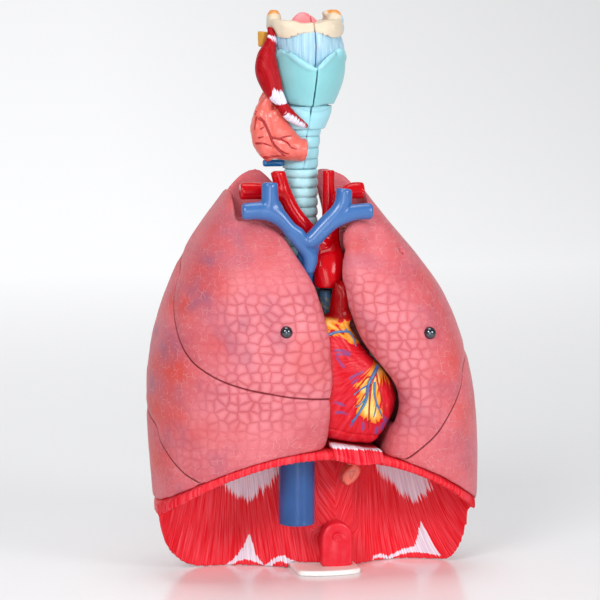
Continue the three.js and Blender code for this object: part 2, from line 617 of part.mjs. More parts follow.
function neckArteries(grow = 0) {
  const { y, carotid, leftCarotid, subclavian } = ARTERY;
  const c = carotid + grow;
  const lc = leftCarotid + grow;
  const s = subclavian + grow;
  return join(
    tube([[-29, y, 292.4 + grow], [-24.5, y, 278.4], [-18, y, 264], [-6, y, 249], [5, y + 1, 238]],
      [c, c, c, c + 0.6, c + 1], 10, 6),
    tube([[-55.3 - grow, y, 278.2], [-40, y, 278.2], [-24, y, 276]], [s, s, s - 1], 10, 3),
    tube([[8, y, 292 + grow], [8, y, 274], [8, y + 1, 250], [9, y + 3, 238]], [lc, lc, lc, lc], 10, 3),
    tube([[33.4 + grow, y + 1, 277], [20, y + 1, 277], [13, y + 1, 264], [11, y + 4, 240]], [s, s, s - 1.5, s - 1.5],
      10, 5),
  );
}

function arteries() {
  return mainBody(cut(join(aorta(), neckArteries()), tracheaForm(SEAT_GAP, TRACHEA.bottom, TRACHEA.top),
    gullet(SEAT_GAP), veins(SEAT_GAP), bronchialTree('left', SEAT_GAP), heartTrunks(LIFT_GAP),
    block(-BIG, BIG, -BIG, BIG, LARYNX_BOTTOM - 0.6, BIG)));
}

function brachiocephalicVeins() {
  return mainBody(cut(veins(), heartForm(LIFT_GAP), heartTrunks(LIFT_GAP), aorta(SEAT_GAP)));
}

// Room that the neck vessels need when a front half slides forward past them
function neckVesselRoom(reach = LIFT_GAP) {
  return join(veins(reach), neckArteries(reach));
}

// Gullet behind the windpipe, then forward through the plate to its open stub
function gullet(grow = 0) {
  const g = GULLET.radius + grow;
  return tube([[-4, 21, 289], [0, 22, 240], [4, 21, 212], [12, 14, 178], [20, 8, 140], [26, 2, 108],
    [27.5, -5, 84], [27.6, -9, GULLET.stubZ - grow]],
  [g, g, g, g, g, g, GULLET.stub + grow, GULLET.stub + grow], 10, 12);
}

function oesophagus() {
  const bore = tube([[27.5, -7.6, 76], [27.6, -9.2, GULLET.stubZ - 2]], [GULLET.bore, GULLET.bore], 8, 1);
  return mainBody(gullet().subtract(bore));
}

function inferiorVenaCava() {
  const { x, y, radius, bore, bottom, boreDepth } = CAVA;
  const wallRoom = planSlab([[-BIG, BIG], ...heights(-60, 80, 24).map((px) => [px, wallDepth(px) - SEAT_GAP]),
    [BIG, BIG]], -1, BIG);
  const full = uprightCylinder(x, y, radius, bottom, BIG / 2, 28)
    .intersect(underArch(ARCH_RADIUS - PLATE_THICKNESS - SEAT_GAP));
  return mainBody(cut(full, uprightCylinder(x, y, bore, bottom - 1, bottom + boreDepth, 24), wallRoom));
}

// Larynx. The airway wall is the inner body, and everything else is cut to fit round it
const axisX = overHeight(LARYNX_AXIS);
const wallHalf = overHeight(WALL);
const lumenRadius = overHeight(LUMEN);

function airwayWall(grow = 0) {
  return loft(heights(LARYNX_BOTTOM, LARYNX_TOP, 19).map((z) => {
    const rings = z < CRICOID.z0 ? Math.sqrt(Math.abs(Math.sin((Math.PI * (CRICOID.z0 - z)) / 9))) * 0.9 : 0.3;
    const half = wallHalf(z) - 0.9 + (grow ? 0.9 : rings) + grow;
    return ovalRing(axisX(z), LARYNX_Y, z, half, half * 0.96, half * 0.72, 18);
  }));
}

function airway() {
  return loft(heights(LARYNX_BOTTOM - 1, LARYNX_TOP + 1, 9).map((z) => {
    const r = lumenRadius(z);
    return ovalRing(axisX(z), LARYNX_Y, z, Math.max(r * 0.85, 2), 9.5, 8, 10);
  }));
}

function cricoidForm(grow = 0) {
  const { z0, z1, band } = CRICOID;
  return loft(heights(0, 1, 5).map((t) => {
    const z = z0 - grow + (z1 - z0 + 2 * grow) * t;
    const half = wallHalf(z) + band - 1.6 + Math.sin(Math.PI * t) * 1.2 + grow;
    return ovalRing(axisX(z), LARYNX_Y, z, half, half, half * 0.86, 20);
  }));
}

// Shield cartilage: two plates that meet in a prow, notched at the top and drawn up at the sides below
function shieldForm(grow = 0) {
  const { z0, z1, prow, half } = SHIELD;
  return loft(heights(0, 1, 6).map((t) => {
    const z = z0 - grow + (z1 - z0 + 2 * grow) * t;
    const flare = 0.72 + 0.28 * Math.sin((Math.PI / 2) * Math.min(t * 1.5, 1));
    return ovalRing(axisX(z), LARYNX_Y, z, half * flare + grow, prow * (0.8 + 0.2 * Math.sin(Math.PI * t * 0.8)) + grow,
      half * 0.55 * flare + grow, 20, 1.45, 2.4);
  }));
}

function shieldOutline() {
  const x = axisX(SHIELD.z1);
  return [[x - 30, 344], [x - 17, 338.5], [x - 8, 337.2], [x, 336.6], [x + 9, 338], [x + 20, 337], [x + 30, 346],
    [x + 30, 372], [x + 25, 376], [x + 19, 377.5], [x + 9, 371], [x, 363.5], [x - 9, 371], [x - 20, 377.5],
    [x - 26, 375], [x - 30, 371]];
}

function shield() {
  const openBack = block(-BIG, BIG, 9, BIG, -BIG, BIG);
  return cut(shieldForm().intersect(frontSlab(shieldOutline(), -BIG, BIG)), airwayWall(SEAT_GAP),
    cricoidForm(SEAT_GAP), openBack);
}

function hyoidForm(grow = 0) {
  const { z0, z1, half, front, back } = HYOID;
  return loft(heights(0, 1, 5).map((t) => {
    const z = z0 - grow + (z1 - z0 + 2 * grow) * t;
    const swell = Math.sin(Math.PI * t) * 1.5 + grow;
    return ovalRing(axisX(z), LARYNX_Y, z, half - 2 + swell, front - 2 + swell, back + swell, 20, 2.4, 2.4);
  }));
}

function hyoid() {
  const horns = [-1, 1].map((s) => {
    const x = axisX(HORN.z);
    return tube([[x + s * HORN.x, 2, 390], [x + s * (HORN.x - 0.5), 3, 398], [x + s * (HORN.x - 2.5), 4, HORN.z]],
      [HORN.radius, HORN.radius, HORN.radius - 2.4], 8, 3);
  });
  const hollow = loft(heights(HYOID.z0 - 1, BIG, 2).map((z) => ovalRing(axisX(HYOID.z1), LARYNX_Y + 2, z, 17, 17, 9, 14, 3)));
  const band = cut(hyoidForm(), hollow, airwayWall(SEAT_GAP));
  return join(band, ...horns.map((horn) => cut(horn, airwayWall(SEAT_GAP), hollow)));
}

// Leaf of the epiglottis, a curved pad that stands in the ring of the hyoid
function epiglottis() {
  const leaf = loft(heights(0, 1, 6).map((t) => {
    const z = LARYNX_TOP + SEAT_GAP + EPIGLOTTIS_HEIGHT * t;
    const fan = Math.sin(Math.PI * (0.3 + 0.62 * t));
    return ovalRing(axisX(z) - 0.8, LARYNX_Y - 10 + 4 * t, z, 10.6 * fan, 4 * fan, 4 * fan, 16, 2.2, 2.2);
  }));
  return leaf;
}

// The two sides of the seam, as front outlines pushed through in depth
function seamSide(side) {
  const shift = (side === 'right' ? -1 : 1) * (SEAM_GAP / 2);
  const line = SEAM.map(([x, z]) => [x + shift, z]);
  const first = line[0];
  const last = line[line.length - 1];
  const far = side === 'right' ? -BIG : BIG;
  const outline = [[far, first[1] - 20], [first[0], first[1] - 20], ...line, [last[0], last[1] + 40], [far, last[1] + 40]];
  return frontSlab(side === 'right' ? outline : outline.reverse(), -BIG, BIG);
}

const halfOf = (solid, side) => mainBody(solid.intersect(seamSide(side)));

// Muscle along the right edge of the shield, up to the hyoid
function strapMuscle(grow = 0) {
  return tube([[-30.5, -4, 386], [-34, -6, 374], [-34.5, -8, 360], [-31.5, -10, 350], [-26.5, -12, 343]],
    [4 + grow, 6.6 + grow, 6.8 + grow, 5.8 + grow, 4.4 + grow], 10, 6);
}

function larynxMuscle() {
  return mainBody(cut(strapMuscle(), shieldForm(SEAT_GAP), airwayWall(SEAT_GAP), hyoidForm(SEAT_GAP),
    cricoidForm(SEAT_GAP)));
}

function glandForm(grow = 0) {
  const lobe = tube([[-31, -9, 345], [-36, -9, 335], [-37.2, -9, 322], [-35, -10, 309], [-29, -11, 301]],
    [3.5 + grow, 7 + grow, 9.4 + grow, 9.6 + grow, 6.5 + grow], 10, 6);
  const isthmus = tube([[-30, -12, 308], [-20, -14, 308], [-11, -14.5, 306], [-2, -13.5, 306]],
    [8 + grow, 9.5 + grow, 8.6 + grow, 8 + grow], 10, 4);
  const fill = tube([[-31, -10, 334], [-27, -11, 322], [-18, -13, 309]], [7 + grow, 9.4 + grow, 9 + grow], 10, 3);
  return join(lobe, isthmus, fill).intersect(block(-BIG, BIG, -BIG, BIG, 297 - grow, BIG));
}

function thyroidGland() {
  return halfOf(cut(glandForm(), airwayWall(SEAT_GAP), cricoidForm(SEAT_GAP), shieldForm(SEAT_GAP),
    strapMuscle(SEAT_GAP)), 'right');
}

function cricothyroidMuscle() {
  const fan = tube([[-25, -13, 340], [-21, -14, 332], [-13, -16, 327]], [4.6, 5, 3.2], 10, 4);
  return mainBody(cut(fan, airwayWall(SEAT_GAP), cricoidForm(SEAT_GAP), shieldForm(SEAT_GAP), strapMuscle(SEAT_GAP),
    glandForm(SEAT_GAP)));
}

function fatPad() {
  const pad = tube([[-34, 3, 389], [-35, 3, 378]], [4.4, 3], 8, 2);
  return mainBody(cut(pad, strapMuscle(SEAT_GAP), hyoidForm(SEAT_GAP), shieldForm(SEAT_GAP), airwayWall(SEAT_GAP)));
}

// Blue vein ends behind the lower edge of the gland
function glandVein() {
  const strip = tube([[-35.5, -2, 296.2], [-27, -2, 296.2], [-19, -3, 296.2]], [3, 3, 3], 10, 3);
  return mainBody(cut(strip, glandForm(SEAT_GAP), airwayWall(SEAT_GAP)));
}

// Scene
const group = new THREE.Group();

function place(name, solid, material) {
  const mesh = new THREE.Mesh(toGeometry(solid), material);
  mesh.name = name;
  group.add(mesh);
}

place('diaphragm', diaphragm(), MUSCLE_RED);
place('foot_plate', footPlate(), WHITE);
place('spine_boss', boss(), MUSCLE_RED);
place('boss_screw', roundHead(BOSS.x, BOSS.z, BOSS.front + 1.4 - SEAT_GAP, SCREW.radius, SCREW.height, SCREW.shank,
  SCREW.depth), STUD_METAL);
place('heart_seat', heartSeat(), MUSCLE_RED);
place('mediastinum', mediastinum(), MUSCLE_RED);
place('trachea', trachea(), CARTILAGE);
place('oesophagus', oesophagus(), SALMON);
place('arteries', arteries(), ARTERY_RED);
place('brachiocephalic_veins', brachiocephalicVeins(), VEIN_BLUE);
place('inferior_vena_cava', inferiorVenaCava(), VEIN_BLUE);

for (const side of ['right', 'left']) {
  place(`${side}_lung_back`, lungBackHalf(side), LUNG_PINK);
  place(`${side}_lung_front`, lungFrontHalf(side), LUNG_PINK);
  place(`${side}_lung_stud`, stud(side), STUD_METAL);
  place(`${side}_bronchi`, bronchialTree(side), CARTILAGE);
  place(`${side}_larynx_wall`, halfOf(cut(airwayWall(), airway()), side), MEMBRANE);
  place(`${side}_cricoid`, halfOf(cut(cricoidForm(), airwayWall(SEAT_GAP)), side), CARTILAGE);
  place(`${side}_thyroid_cartilage`, halfOf(shield(), side), CARTILAGE);
  place(`${side}_hyoid`, halfOf(hyoid(), side), BONE);
  place(`${side}_epiglottis`, halfOf(epiglottis(), side), GLAND);
}

place('heart_front', heartHalf('front'), HEART_RED);
place('heart_back', heartHalf('back'), HEART_RED);
place('larynx_muscle', larynxMuscle(), MUSCLE_RED);
place('cricothyroid_muscle', cricothyroidMuscle(), MUSCLE_RED);
place('thyroid_gland', thyroidGland(), GLAND);
place('larynx_fat', fatPad(), FAT);
place('gland_vein', glandVein(), AZURE);

export default group;
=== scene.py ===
"""Larynx, heart and lungs model: the painted surfaces that dress the solids of a life-size teaching model.

Lengths in the lists below are millimetres in the model's own frame: X to the viewer's right, Y to the back,
Z up from the table. Objects and meshes are in metres.
"""

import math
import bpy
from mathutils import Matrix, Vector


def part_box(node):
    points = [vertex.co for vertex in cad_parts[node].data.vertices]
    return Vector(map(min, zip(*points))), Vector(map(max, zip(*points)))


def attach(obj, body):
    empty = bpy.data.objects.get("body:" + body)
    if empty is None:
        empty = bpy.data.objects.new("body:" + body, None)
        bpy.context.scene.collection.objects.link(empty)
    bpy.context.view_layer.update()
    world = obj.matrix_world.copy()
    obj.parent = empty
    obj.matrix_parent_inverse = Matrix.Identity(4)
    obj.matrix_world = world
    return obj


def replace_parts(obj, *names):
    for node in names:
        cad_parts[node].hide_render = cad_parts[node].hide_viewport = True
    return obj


bl_info = {
    "name": "Larynx, heart and lungs model",
    "version": (1, 0, 0),
    "blender": (4, 5, 0),
    "location": "3D View > Sidebar > Anatomy model",
    "description": "Dresses the solids of a life-size larynx, heart and lungs model with painted surfaces",
    "category": "Object",
}

import bmesh
import bpy
import numpy as np
from bpy.props import FloatProperty, FloatVectorProperty, PointerProperty
from mathutils import Matrix, Vector, noise
from mathutils.bvhtree import BVHTree

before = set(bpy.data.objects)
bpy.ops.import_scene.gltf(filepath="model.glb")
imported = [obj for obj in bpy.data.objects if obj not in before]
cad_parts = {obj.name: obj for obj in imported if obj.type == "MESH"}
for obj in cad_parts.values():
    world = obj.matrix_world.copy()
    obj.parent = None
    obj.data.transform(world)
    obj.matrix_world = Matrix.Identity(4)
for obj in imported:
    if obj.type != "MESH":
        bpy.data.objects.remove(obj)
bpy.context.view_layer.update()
MM = 0.001

# Heights that no point of the dressed pieces leaves, and a depth in front of all of them
LOWEST_Z, HIGHEST_Z = 0.3, 404
FRONT_Y = -120

# Lines read off the front of the object: points on the surface, in millimetres
RIGHT_HORIZONTAL_FISSURE = [(-92, 13, 232), (-95, 3, 226), (-96.6, -3.8, 220.9), (-100.5, -7.6, 209.7),
    (-103.3, -15, 197), (-103.5, -24.2, 184.5), (-100.3, -34.1, 170.9), (-95.2, -41.1, 162.2),
    (-89.1, -46.6, 156.5), (-76.9, -54.3, 149.2), (-59.9, -59.5, 143.2), (-42.1, -61, 139.2),
    (-23.8, -60.4, 135.8), (2, -55, 133), (6, -44, 132.6)]
RIGHT_OBLIQUE_FISSURE = [(-117.5, 13, 122), (-117, 0, 116), (-115.1, -9.7, 111), (-112.8, -14.4, 101.6),
    (-109.5, -21.6, 93.6), (-104.2, -27.9, 86.2), (-98, -33.8, 79.9), (-90.6, -38.4, 75.5), (-88, -40, 73)]
LEFT_OBLIQUE_FISSURE = [(112, 13, 166), (110, -12, 162), (107, -30, 157), (102.8, -41.6, 151.8),
    (99.7, -49.9, 140.3), (94.6, -54.8, 130.2), (87.4, -57.5, 118.1), (78.6, -56.6, 105.5),
    (68.8, -54.9, 96.5), (59.3, -52.2, 89), (52, -50, 85)]
RIGHT_BACK_FISSURES = [
    [(-117.5, 15, 122), (-113, 30, 140), (-95, 50, 170), (-60, 58, 205), (-20, 57, 232)],
    [(-92, 15, 232), (-97, 30, 205), (-98, 46, 172)],
]
LEFT_BACK_FISSURES = [[(112, 15, 166), (108, 32, 178), (92, 48, 196), (60, 56, 218), (28, 55, 236)]]

# Soft patches of paint on the front of the lungs: X, Z, radius and strength
LUNG_FLUSH = [(-69, 244, 13, 0.7), (-82, 216, 13, 0.85), (-97, 200, 12, 0.8), (-78, 175, 11, 0.5),
    (-105, 153, 13, 0.95), (-111, 125, 13, 0.85), (-115, 92, 14, 0.7), (-92, 112, 14, 0.4),
    (-40, 236, 14, 0.35), (75, 211, 14, 0.5), (90, 161, 15, 0.45), (20, 240, 10, 0.5), (104, 120, 14, 0.35),
    (60, 92, 16, 0.3), (52, 236, 14, 0.3)]
LUNG_SHADE = [(-88, 205, 12, 0.85), (-77, 232, 9, 0.7), (-111, 172, 12, 0.65), (-69, 184, 11, 0.6),
    (-63, 167, 9, 0.4), (-45, 198, 11, 0.3), (-104, 106, 11, 0.4), (-62, 252, 11, 0.5), (-84, 140, 12, 0.3),
    (72, 190, 13, 0.3), (66, 120, 13, 0.3), (104, 92, 12, 0.3), (60, 226, 12, 0.25), (-116, 140, 9, 0.5)]

# Where the polygons on the lungs are clear: X, Z, radius and strength
LUNG_CELLS = [(-34, 168, 32, 1.0), (-56, 190, 20, 0.7), (-9, 152, 22, 0.9), (-67, 134, 20, 0.8),
    (-45, 126, 15, 0.7), (-22, 196, 20, 0.6), (35, 196, 17, 0.8), (46, 176, 18, 1.0), (53, 154, 17, 1.0),
    (63, 132, 15, 0.6), (26, 211, 13, 0.5), (-95, 100, 16, 0.3), (60, 110, 12, 0.4)]

# The lungs' pattern is unrolled about an upright axis in each, X and Y, at one radius. It stretches in the narrow apex.
LUNG_MIDDLES = {"right": (-62, 8), "left": (68, 8)}
LUNG_RADIUS = 60
APEX_Z = 215

# Heart: outlines of the fat and lines of the vessels, X and Z on the front half
HEART_TOP_FAT = [(0, 189.5), (8, 191), (13.5, 188.5), (19, 187), (25, 182), (28, 173), (26.7, 167.9),
    (24.5, 169.7), (20.6, 170.4), (15.7, 173.7), (12.3, 176.2), (6.3, 176.3), (0, 177)]
HEART_FAT_FAN = [(34.9, 154.8), (30.7, 150.9), (27.1, 144.8), (22.7, 142.7), (24.1, 135.5), (21.8, 127.9),
    (23, 121.1), (26.3, 118.9), (30.8, 113), (32.7, 115.5), (36.6, 111.3), (38.7, 116.7), (40.2, 122.5),
    (39, 128), (38.1, 132.6), (38.1, 138.2), (40.4, 144), (44.3, 136.2), (44, 146), (41, 153)]
HEART_RED_BAND = [(14.5, 190), (9.8, 183.6), (5.6, 179)]
HEART_RED_RIDGE = [(12.2, 175.3), (16, 169.5), (22.1, 163.5), (28.1, 157.5), (33, 154.6)]
HEART_SEAM = [(-16, 114), (-6, 112), (3.4, 110.3), (6.7, 109.9), (20.5, 106), (30, 104.8), (40, 106)]
HEART_PURPLE = [
    [(7.7, 166.5), (12.8, 166.4), (17.8, 164.2)], [(8.5, 163.6), (13, 164.2), (17.7, 162.8)],
    [(9.1, 161.1), (12.4, 156.8), (13.8, 154.9)], [(18.5, 146.7), (22.1, 148.8), (27.3, 150.4)],
    [(19.5, 143.4), (23.5, 145.6)], [(7.9, 129.8), (10.8, 129.1), (13.7, 127.4)],
    [(8.6, 122.5), (12.5, 122.6), (15.9, 121.3)], [(21.9, 116.7), (19.8, 112.7)],
    [(28.7, 114.2), (28.7, 109.4)], [(36.7, 111.7), (36.4, 107.5)], [(40.3, 119.3), (41.5, 113.5)],
    [(42.5, 117), (44.5, 113)], [(39.6, 114.5), (39.3, 110)],
]
CORONARY_VEINS = [
    ([(39.5, 153.5), (35.5, 148.5), (31.6, 141.7), (30.5, 134.1), (29.2, 129.4), (26.6, 124.8), (23.3, 119.1),
        (20, 115.3)], 1.35),
    ([(31.6, 141.7), (26.9, 139.2), (22.9, 136.5), (20.9, 134.7)], 0.65),
    ([(30.5, 134.1), (28.2, 130.5), (25, 127.3), (22.5, 126)], 0.65),
    ([(36.4, 143.5), (36, 141.2), (36.1, 134.6), (37.5, 128.7), (39.9, 123.5), (42, 118.6)], 0.85),
    ([(37.5, 128.7), (36.7, 121.9), (35.8, 118.1)], 0.55),
    ([(-2, 176.2), (3.4, 177.5), (7.4, 178.7), (11.5, 179.4), (19.1, 178.8), (25, 176.5)], 1.25),
    ([(15, 179.2), (17.4, 181), (21.1, 183)], 0.7),
    ([(19.1, 178.8), (22.5, 174), (24, 168.5)], 0.75),
]
CORONARY_ARTERIES = [
    ([(38.6, 152.5), (37.2, 149), (33.8, 142.4), (32.9, 135), (32.4, 127.3), (32.4, 119.4),
        (33.1, 110.5)], 0.85),
    ([(35.5, 147.9), (30.3, 146.4), (27, 142.9), (23.4, 139.8)], 0.6),
    ([(32.7, 138), (29, 135.2), (26.5, 131), (22.5, 126.5)], 0.6),
    ([(37.8, 149), (38.5, 143.7), (39.5, 139), (41.4, 133), (43.3, 126), (44.6, 121.3)], 0.65),
]

# Where the object's outline leaves the solid: places, reach and how far the surface is drawn, in millimetres
DRAWN = {
    "right_lung_front": [((-18, -45, 240), (14, 8, 15), (6.0, 0, 5.0)),
        ((-10, -48, 214), (12, 9, 16), (4.0, 0, 0)), ((-36, -40, 252), (13, 10, 9), (2.0, -1.0, 5.5)),
        ((-28, -42, 246), (11, 10, 9), (4.5, 0, 4.0))],
    "left_lung_front": [((50, -38, 130), (11, 22, 19), (6.0, 0, 0))],
    "larynx_muscle": [((-35, -8, 386), (9, 12, 9), (4.5, 0, 0))],
    "arteries": [((-1, -28, 228), (7, 10, 15), (-3.0, -1.0, 0)), ((14, -26, 228), (7, 10, 15), (3.5, 0, 0))],
    "left_larynx_wall": [((22, -4, 382), (9, 14, 16), (4.0, 0, 0))],
    "brachiocephalic_veins": [((-9, -36, 236), (12, 12, 12), (1.5, 4.0, 0)),
        ((-10, -27, 218), (14, 14, 14), (0, 3.0, 0)), ((-8, -38, 249), (8, 12, 9), (-4.0, 0, -5.0)),
        ((-20, -36, 260), (10, 12, 10), (-1.5, 0, -6.0))],
    "heart_front": [((31, -40, 103), (16, 14, 9), (2.0, 0, -4.0))],
    "heart_seat": [((22, -54, 95), (28, 5, 7), (0, -1.5, -10))],
    "diaphragm": [((22, -55, 90), (22, 8, 12), (0, 3.0, -1.5))],
    "right_hyoid": [((-31, -4, 385), (8, 8, 8), (2.0, 0, 3.0)), ((-8, -24, 385), (10, 10, 10), (0, 0, -1.5)),
        ((-8, -20, 398), (8, 8, 8), (0, 0, -2.0))],
    "left_hyoid": [((21, -4, 385), (8, 8, 8), (1.5, 0, 2.0)), ((19, 0, 396), (8, 9, 8), (3.0, 0, 0)),
        ((-2, -24, 385), (10, 10, 10), (0, 0, -1.5)), ((-2, -20, 398), (8, 8, 8), (0, 0, -2.0))],
}

# Flesh that the solid lacks: centre, half sizes and turns about Y and Z in degrees
FILLED = {
    "left_lung_front": [((54.5, -30.5, 232), (9.5, 3.2, 11), 0, 48),
        ((27, -32.5, 244), (11.5, 5.5, 14), 0, 0)],
    "heart_front": [((13.0, -35.5, 200), (6.8, 6.5, 16), 6, 0), ((14, -34, 190), (9, 8, 7), 0, 0)],
    "oesophagus": [((25.8, -16.5, 74), (6.6, 3.0, 9.5), 16, 0)],
    "spine_boss": [((18.5, -3, 14), (11.5, 6, 20), 0, 0)],
    "thyroid_gland": [((-32.5, -4, 337), (7, 5, 13), 8, 0), ((-27.5, -6, 332), (7, 5, 9), 0, 0)],
    "left_thyroid_cartilage": [((17.5, -12, 373), (5, 3, 4), 0, 45)],
    "right_hyoid": [((-26.5, 2, 397), (5.5, 7, 8), 0, 0), ((-17, -12, 393), (10, 7, 4.6), 0, 30)],
    "left_hyoid": [((15.5, 2, 397), (5.5, 7, 8), 0, 0), ((6, -12, 393), (10, 7, 4.6), 0, -30)],
}

# Muscle bellies and vessels that are stouter than the solid: places along each with its radius, and how close
# together the balls that fill them lie
BELLY_STEP = 1.2
BELLIES = {
    "larynx_muscle": [(-34, -8, 390, 3), (-34, -9, 380, 5.5), (-34.5, -11, 364, 8.8), (-32, -13, 354, 8.4),
        (-29, -15.5, 346, 6.3), (-25, -18, 339.5, 4.2)],
    "brachiocephalic_veins": [(-37, -34, 274, 4.2), (-28.5, -36.5, 262, 5.4), (-20.5, -38, 251, 5.8),
        (-14, -38.5, 241.5, 6), (-9.5, -38, 233, 5.6), (-9.5, -36, 224, 4.6)],
    "cricothyroid_muscle": [(-24, -18, 337, 4.4), (-20, -18.5, 331.5, 4.6), (-14, -18, 327, 3.6),
        (-7, -17, 323, 1.8)],
}

# Heart: depth of the face where its halves part and how deep the chambers go from it, where the strokes on its front
# fan out from (X and Z) and the radius that their width is true at, the heights that the chambers end and the trunk
# and the root begin at, and how far its left side is filled out at each height
CHAMBER_FACE_Y, CHAMBER_DEPTH = -25.2, 11
FAN_ORIGIN, FAN_RADIUS = (39, 158), 24
CHAMBER_Z, TRUNK_Z = 178, 186
SIDE_HEIGHTS = [101, 110, 120, 131, 142, 153, 167, 182]
SIDE_FILLED = [4.0, 5.5, 7.0, 7.5, 6.0, 3.8, 2.2, 0]

# Heights of the lines between the rings: windpipe, larynx wall and ring cartilage
TRACHEA_LINE, RING_PITCH = 285.8, 7.0
WALL_LINES = (324.5, 315.2, 307.2, 299.3, 291.5)
CRICOID_LINE = 333.0

# Larynx: X of its middle at each height, the heights that the pink inside and the folds outside begin at and the
# rings end at, and half the height of a ring
LARYNX_HEIGHTS = [293, 322, 340, 370, 388, 404]
LARYNX_MIDDLES = [-8.4, -5.6, -3.2, -2, -5, -7]
INSIDE_Z, FOLDS_Z, RINGS_Z, RING_HALF = 300, 372, 323, 4.1

# Hyoid: X of the plane that its halves part in, how far from it the fat and the membrane on the horns begin, and the
# height of the fat
HYOID_X, FAT_BESIDE, MEMBRANE_BESIDE, FAT_Z = -5, 15.5, 25.5, 399

# Thyroid gland: lines of its vessels, X and Z, with the radius of each
GLAND_VESSELS = [
    ([(-39.5, 343.5), (-41.2, 338.5), (-42, 333.8), (-43, 331)], 0.6),
    ([(-43.4, 331.1), (-40.8, 329.3), (-37.6, 326.2), (-35.3, 321.5), (-33.2, 316.7), (-31.1, 311.3),
        (-27.5, 306.7), (-23, 302.6)], 0.85),
    ([(-32.8, 315.5), (-27.2, 314.8), (-23.5, 316), (-18.5, 316.5), (-11, 315.8)], 0.6),
    ([(-27.2, 314.8), (-22, 312.1), (-19, 308.6), (-15.1, 307.2)], 0.55),
    ([(-42.7, 311.2), (-38.1, 311.3), (-32.5, 309.5)], 0.55),
    ([(-40, 321.4), (-37.7, 322.7)], 0.45),
    ([(-41.3, 315.1), (-38, 316.1)], 0.45),
    ([(-37.1, 301.5), (-31.6, 302.1), (-24.9, 303)], 0.6),
    ([(-31.1, 311.3), (-25.3, 305.9), (-20.5, 303.9)], 0.5),
    ([(-42.2, 330), (-43.1, 325.3), (-43.6, 320.6)], 0.5),
]

# Larynx: the raised V along the top of the shield cartilage, and outlines of the tendons
SHIELD_RIDGE = [(-28.5, -4, 370), (-27.1, -7.7, 373.4), (-25.3, -10.7, 375.7), (-21.3, -14.4, 375.8),
    (-18.2, -18.8, 373), (-14.3, -22.8, 369.2), (-8.7, -26.8, 365.5), (-4.4, -28.9, 364.6),
    (0.4, -28.8, 365.5), (5.9, -25.8, 369.2), (12, -19.9, 374.3), (17.3, -14.2, 376.3), (23.3, -5.8, 373.7),
    (25.5, -1, 370)]
UPPER_TENDON = [(-37, 388), (-24, 385.5), (-23.6, 381.3), (-25.2, 377.4), (-28, 381), (-31, 385)]
MIDDLE_TENDON = [(-31.1, 350.4), (-26.6, 348.2), (-21.5, 345.8), (-18, 338), (-34, 338.4), (-33.4, 344.5)]
LOWER_TENDON = [(-25.6, 327.2), (-22.4, 333), (-16.6, 330.6), (-9.8, 325.6), (-6, 321), (-20, 321)]

# Diaphragm: outlines of the white tendon on the wall, X and Z
LEFT_FAN_TENDON = [(-64, 70), (-60, 62), (-53, 54.8), (-46.2, 49.8), (-41.8, 47.2), (-37.5, 49.6),
    (-33.2, 55.2), (-27.6, 59.1), (-20, 70), (-22, 84), (-60, 80)]
RIGHT_FAN_TENDON = [(53, 76), (56, 66), (63.5, 59.5), (73.3, 49.5), (79.6, 43.8), (83.4, 41.2), (88.5, 46.4),
    (95, 53), (88, 70), (64, 80)]
FOOT_TENDONS = [
    [(-40.4, 23), (-37.6, 16), (-36, 9), (-31, 2), (-29, 0), (-36.5, 3.2), (-42.6, 4.8), (-48.5, 3), (-56, -2),
        (-60, -2), (-50.8, 5.7), (-44.8, 13.5)],
    [(-31, 0), (-27.6, 3), (-22.1, 7.9), (-16.5, 9), (-9.6, 5.2), (-6, 0), (-12, 0), (-14.5, 3.2), (-19.3, 5),
        (-23.5, 2.6), (-26, -1)],
    [(50, -1), (51.5, 4.4), (58.5, 5.4), (65.4, 1.6), (63.7, 0), (56.8, 2.4), (52.4, 1.6)],
    [(87.9, 28), (94.3, 15.2), (102, 3), (93, 4), (82.8, 4.8), (73.5, 3.2), (63.7, -1), (63.7, 2.4),
        (75.1, 7.4), (83.6, 9.2), (86, 17.9)],
]

# Diaphragm: X of the seam that its fibres meet in, the lean of the fibres at each X on either side of it, the niche
# at its front, in depth and height, the middle and half widths of its rim's oval, the height that the rim's ribs
# begin at, the strip behind the boss, and its own least and greatest X
RAPHE_X = 19.5
LEAN_LEFT = ([-110, -40, 0], [-0.55, 0.12, 0.2])
LEAN_RIGHT = ([40, 105], [0.0, 0.6])
NICHE_Y, NICHE_Z = -8, 92
RIM_MIDDLE, RIM_X, RIM_Y, RIM_Z = 3, 118, 52, 30
BOSS_X, BOSS_HALF = 18, 13
DIAPHRAGM_X = (-110, 116)

# Heart seat: height of its upper edge at each X, and the depth that its white strip ends at
SEAT_EDGE = ([5.5, 44], [99.4, 95.2])
STRIP_Y = -36

# Gullet: height of the middle of its oval cut end, half the height of the oval, the X it is drawn about, its lowest
# height, and the triangle of painted shade that stands for the hollow in it, X and Z
GULLET_Z, GULLET_HALF, GULLET_X, GULLET_LOW = 72.4, 7.8, 26, 64.7
GULLET_HOLLOW_SHADE = [(23.8, 75), (28, 75.5), (25.5, 69.5), (23.8, 75)]

# Round pieces: how many sides they are turned with, and radius and depth from the tip backwards, both in radii
TURNED_SIDES = 40
STUD_PROFILE = [(0, 0), (0.35, 0.02), (0.7, 0.22), (0.92, 0.5), (1.0, 0.74), (1.0, 1.0), (0.8, 1.06),
    (0.5, 1.06), (0.5, 2.6), (0, 2.6)]
SCREW_PROFILE = [(0, 0.12), (0.16, 0.12), (0.26, 0.3), (0.4, 0.34), (0.52, 0.2), (0.8, 0.16), (0.95, 0.3),
    (1.0, 0.55), (0.5, 0.6), (0.5, 1.8), (0, 1.8)]

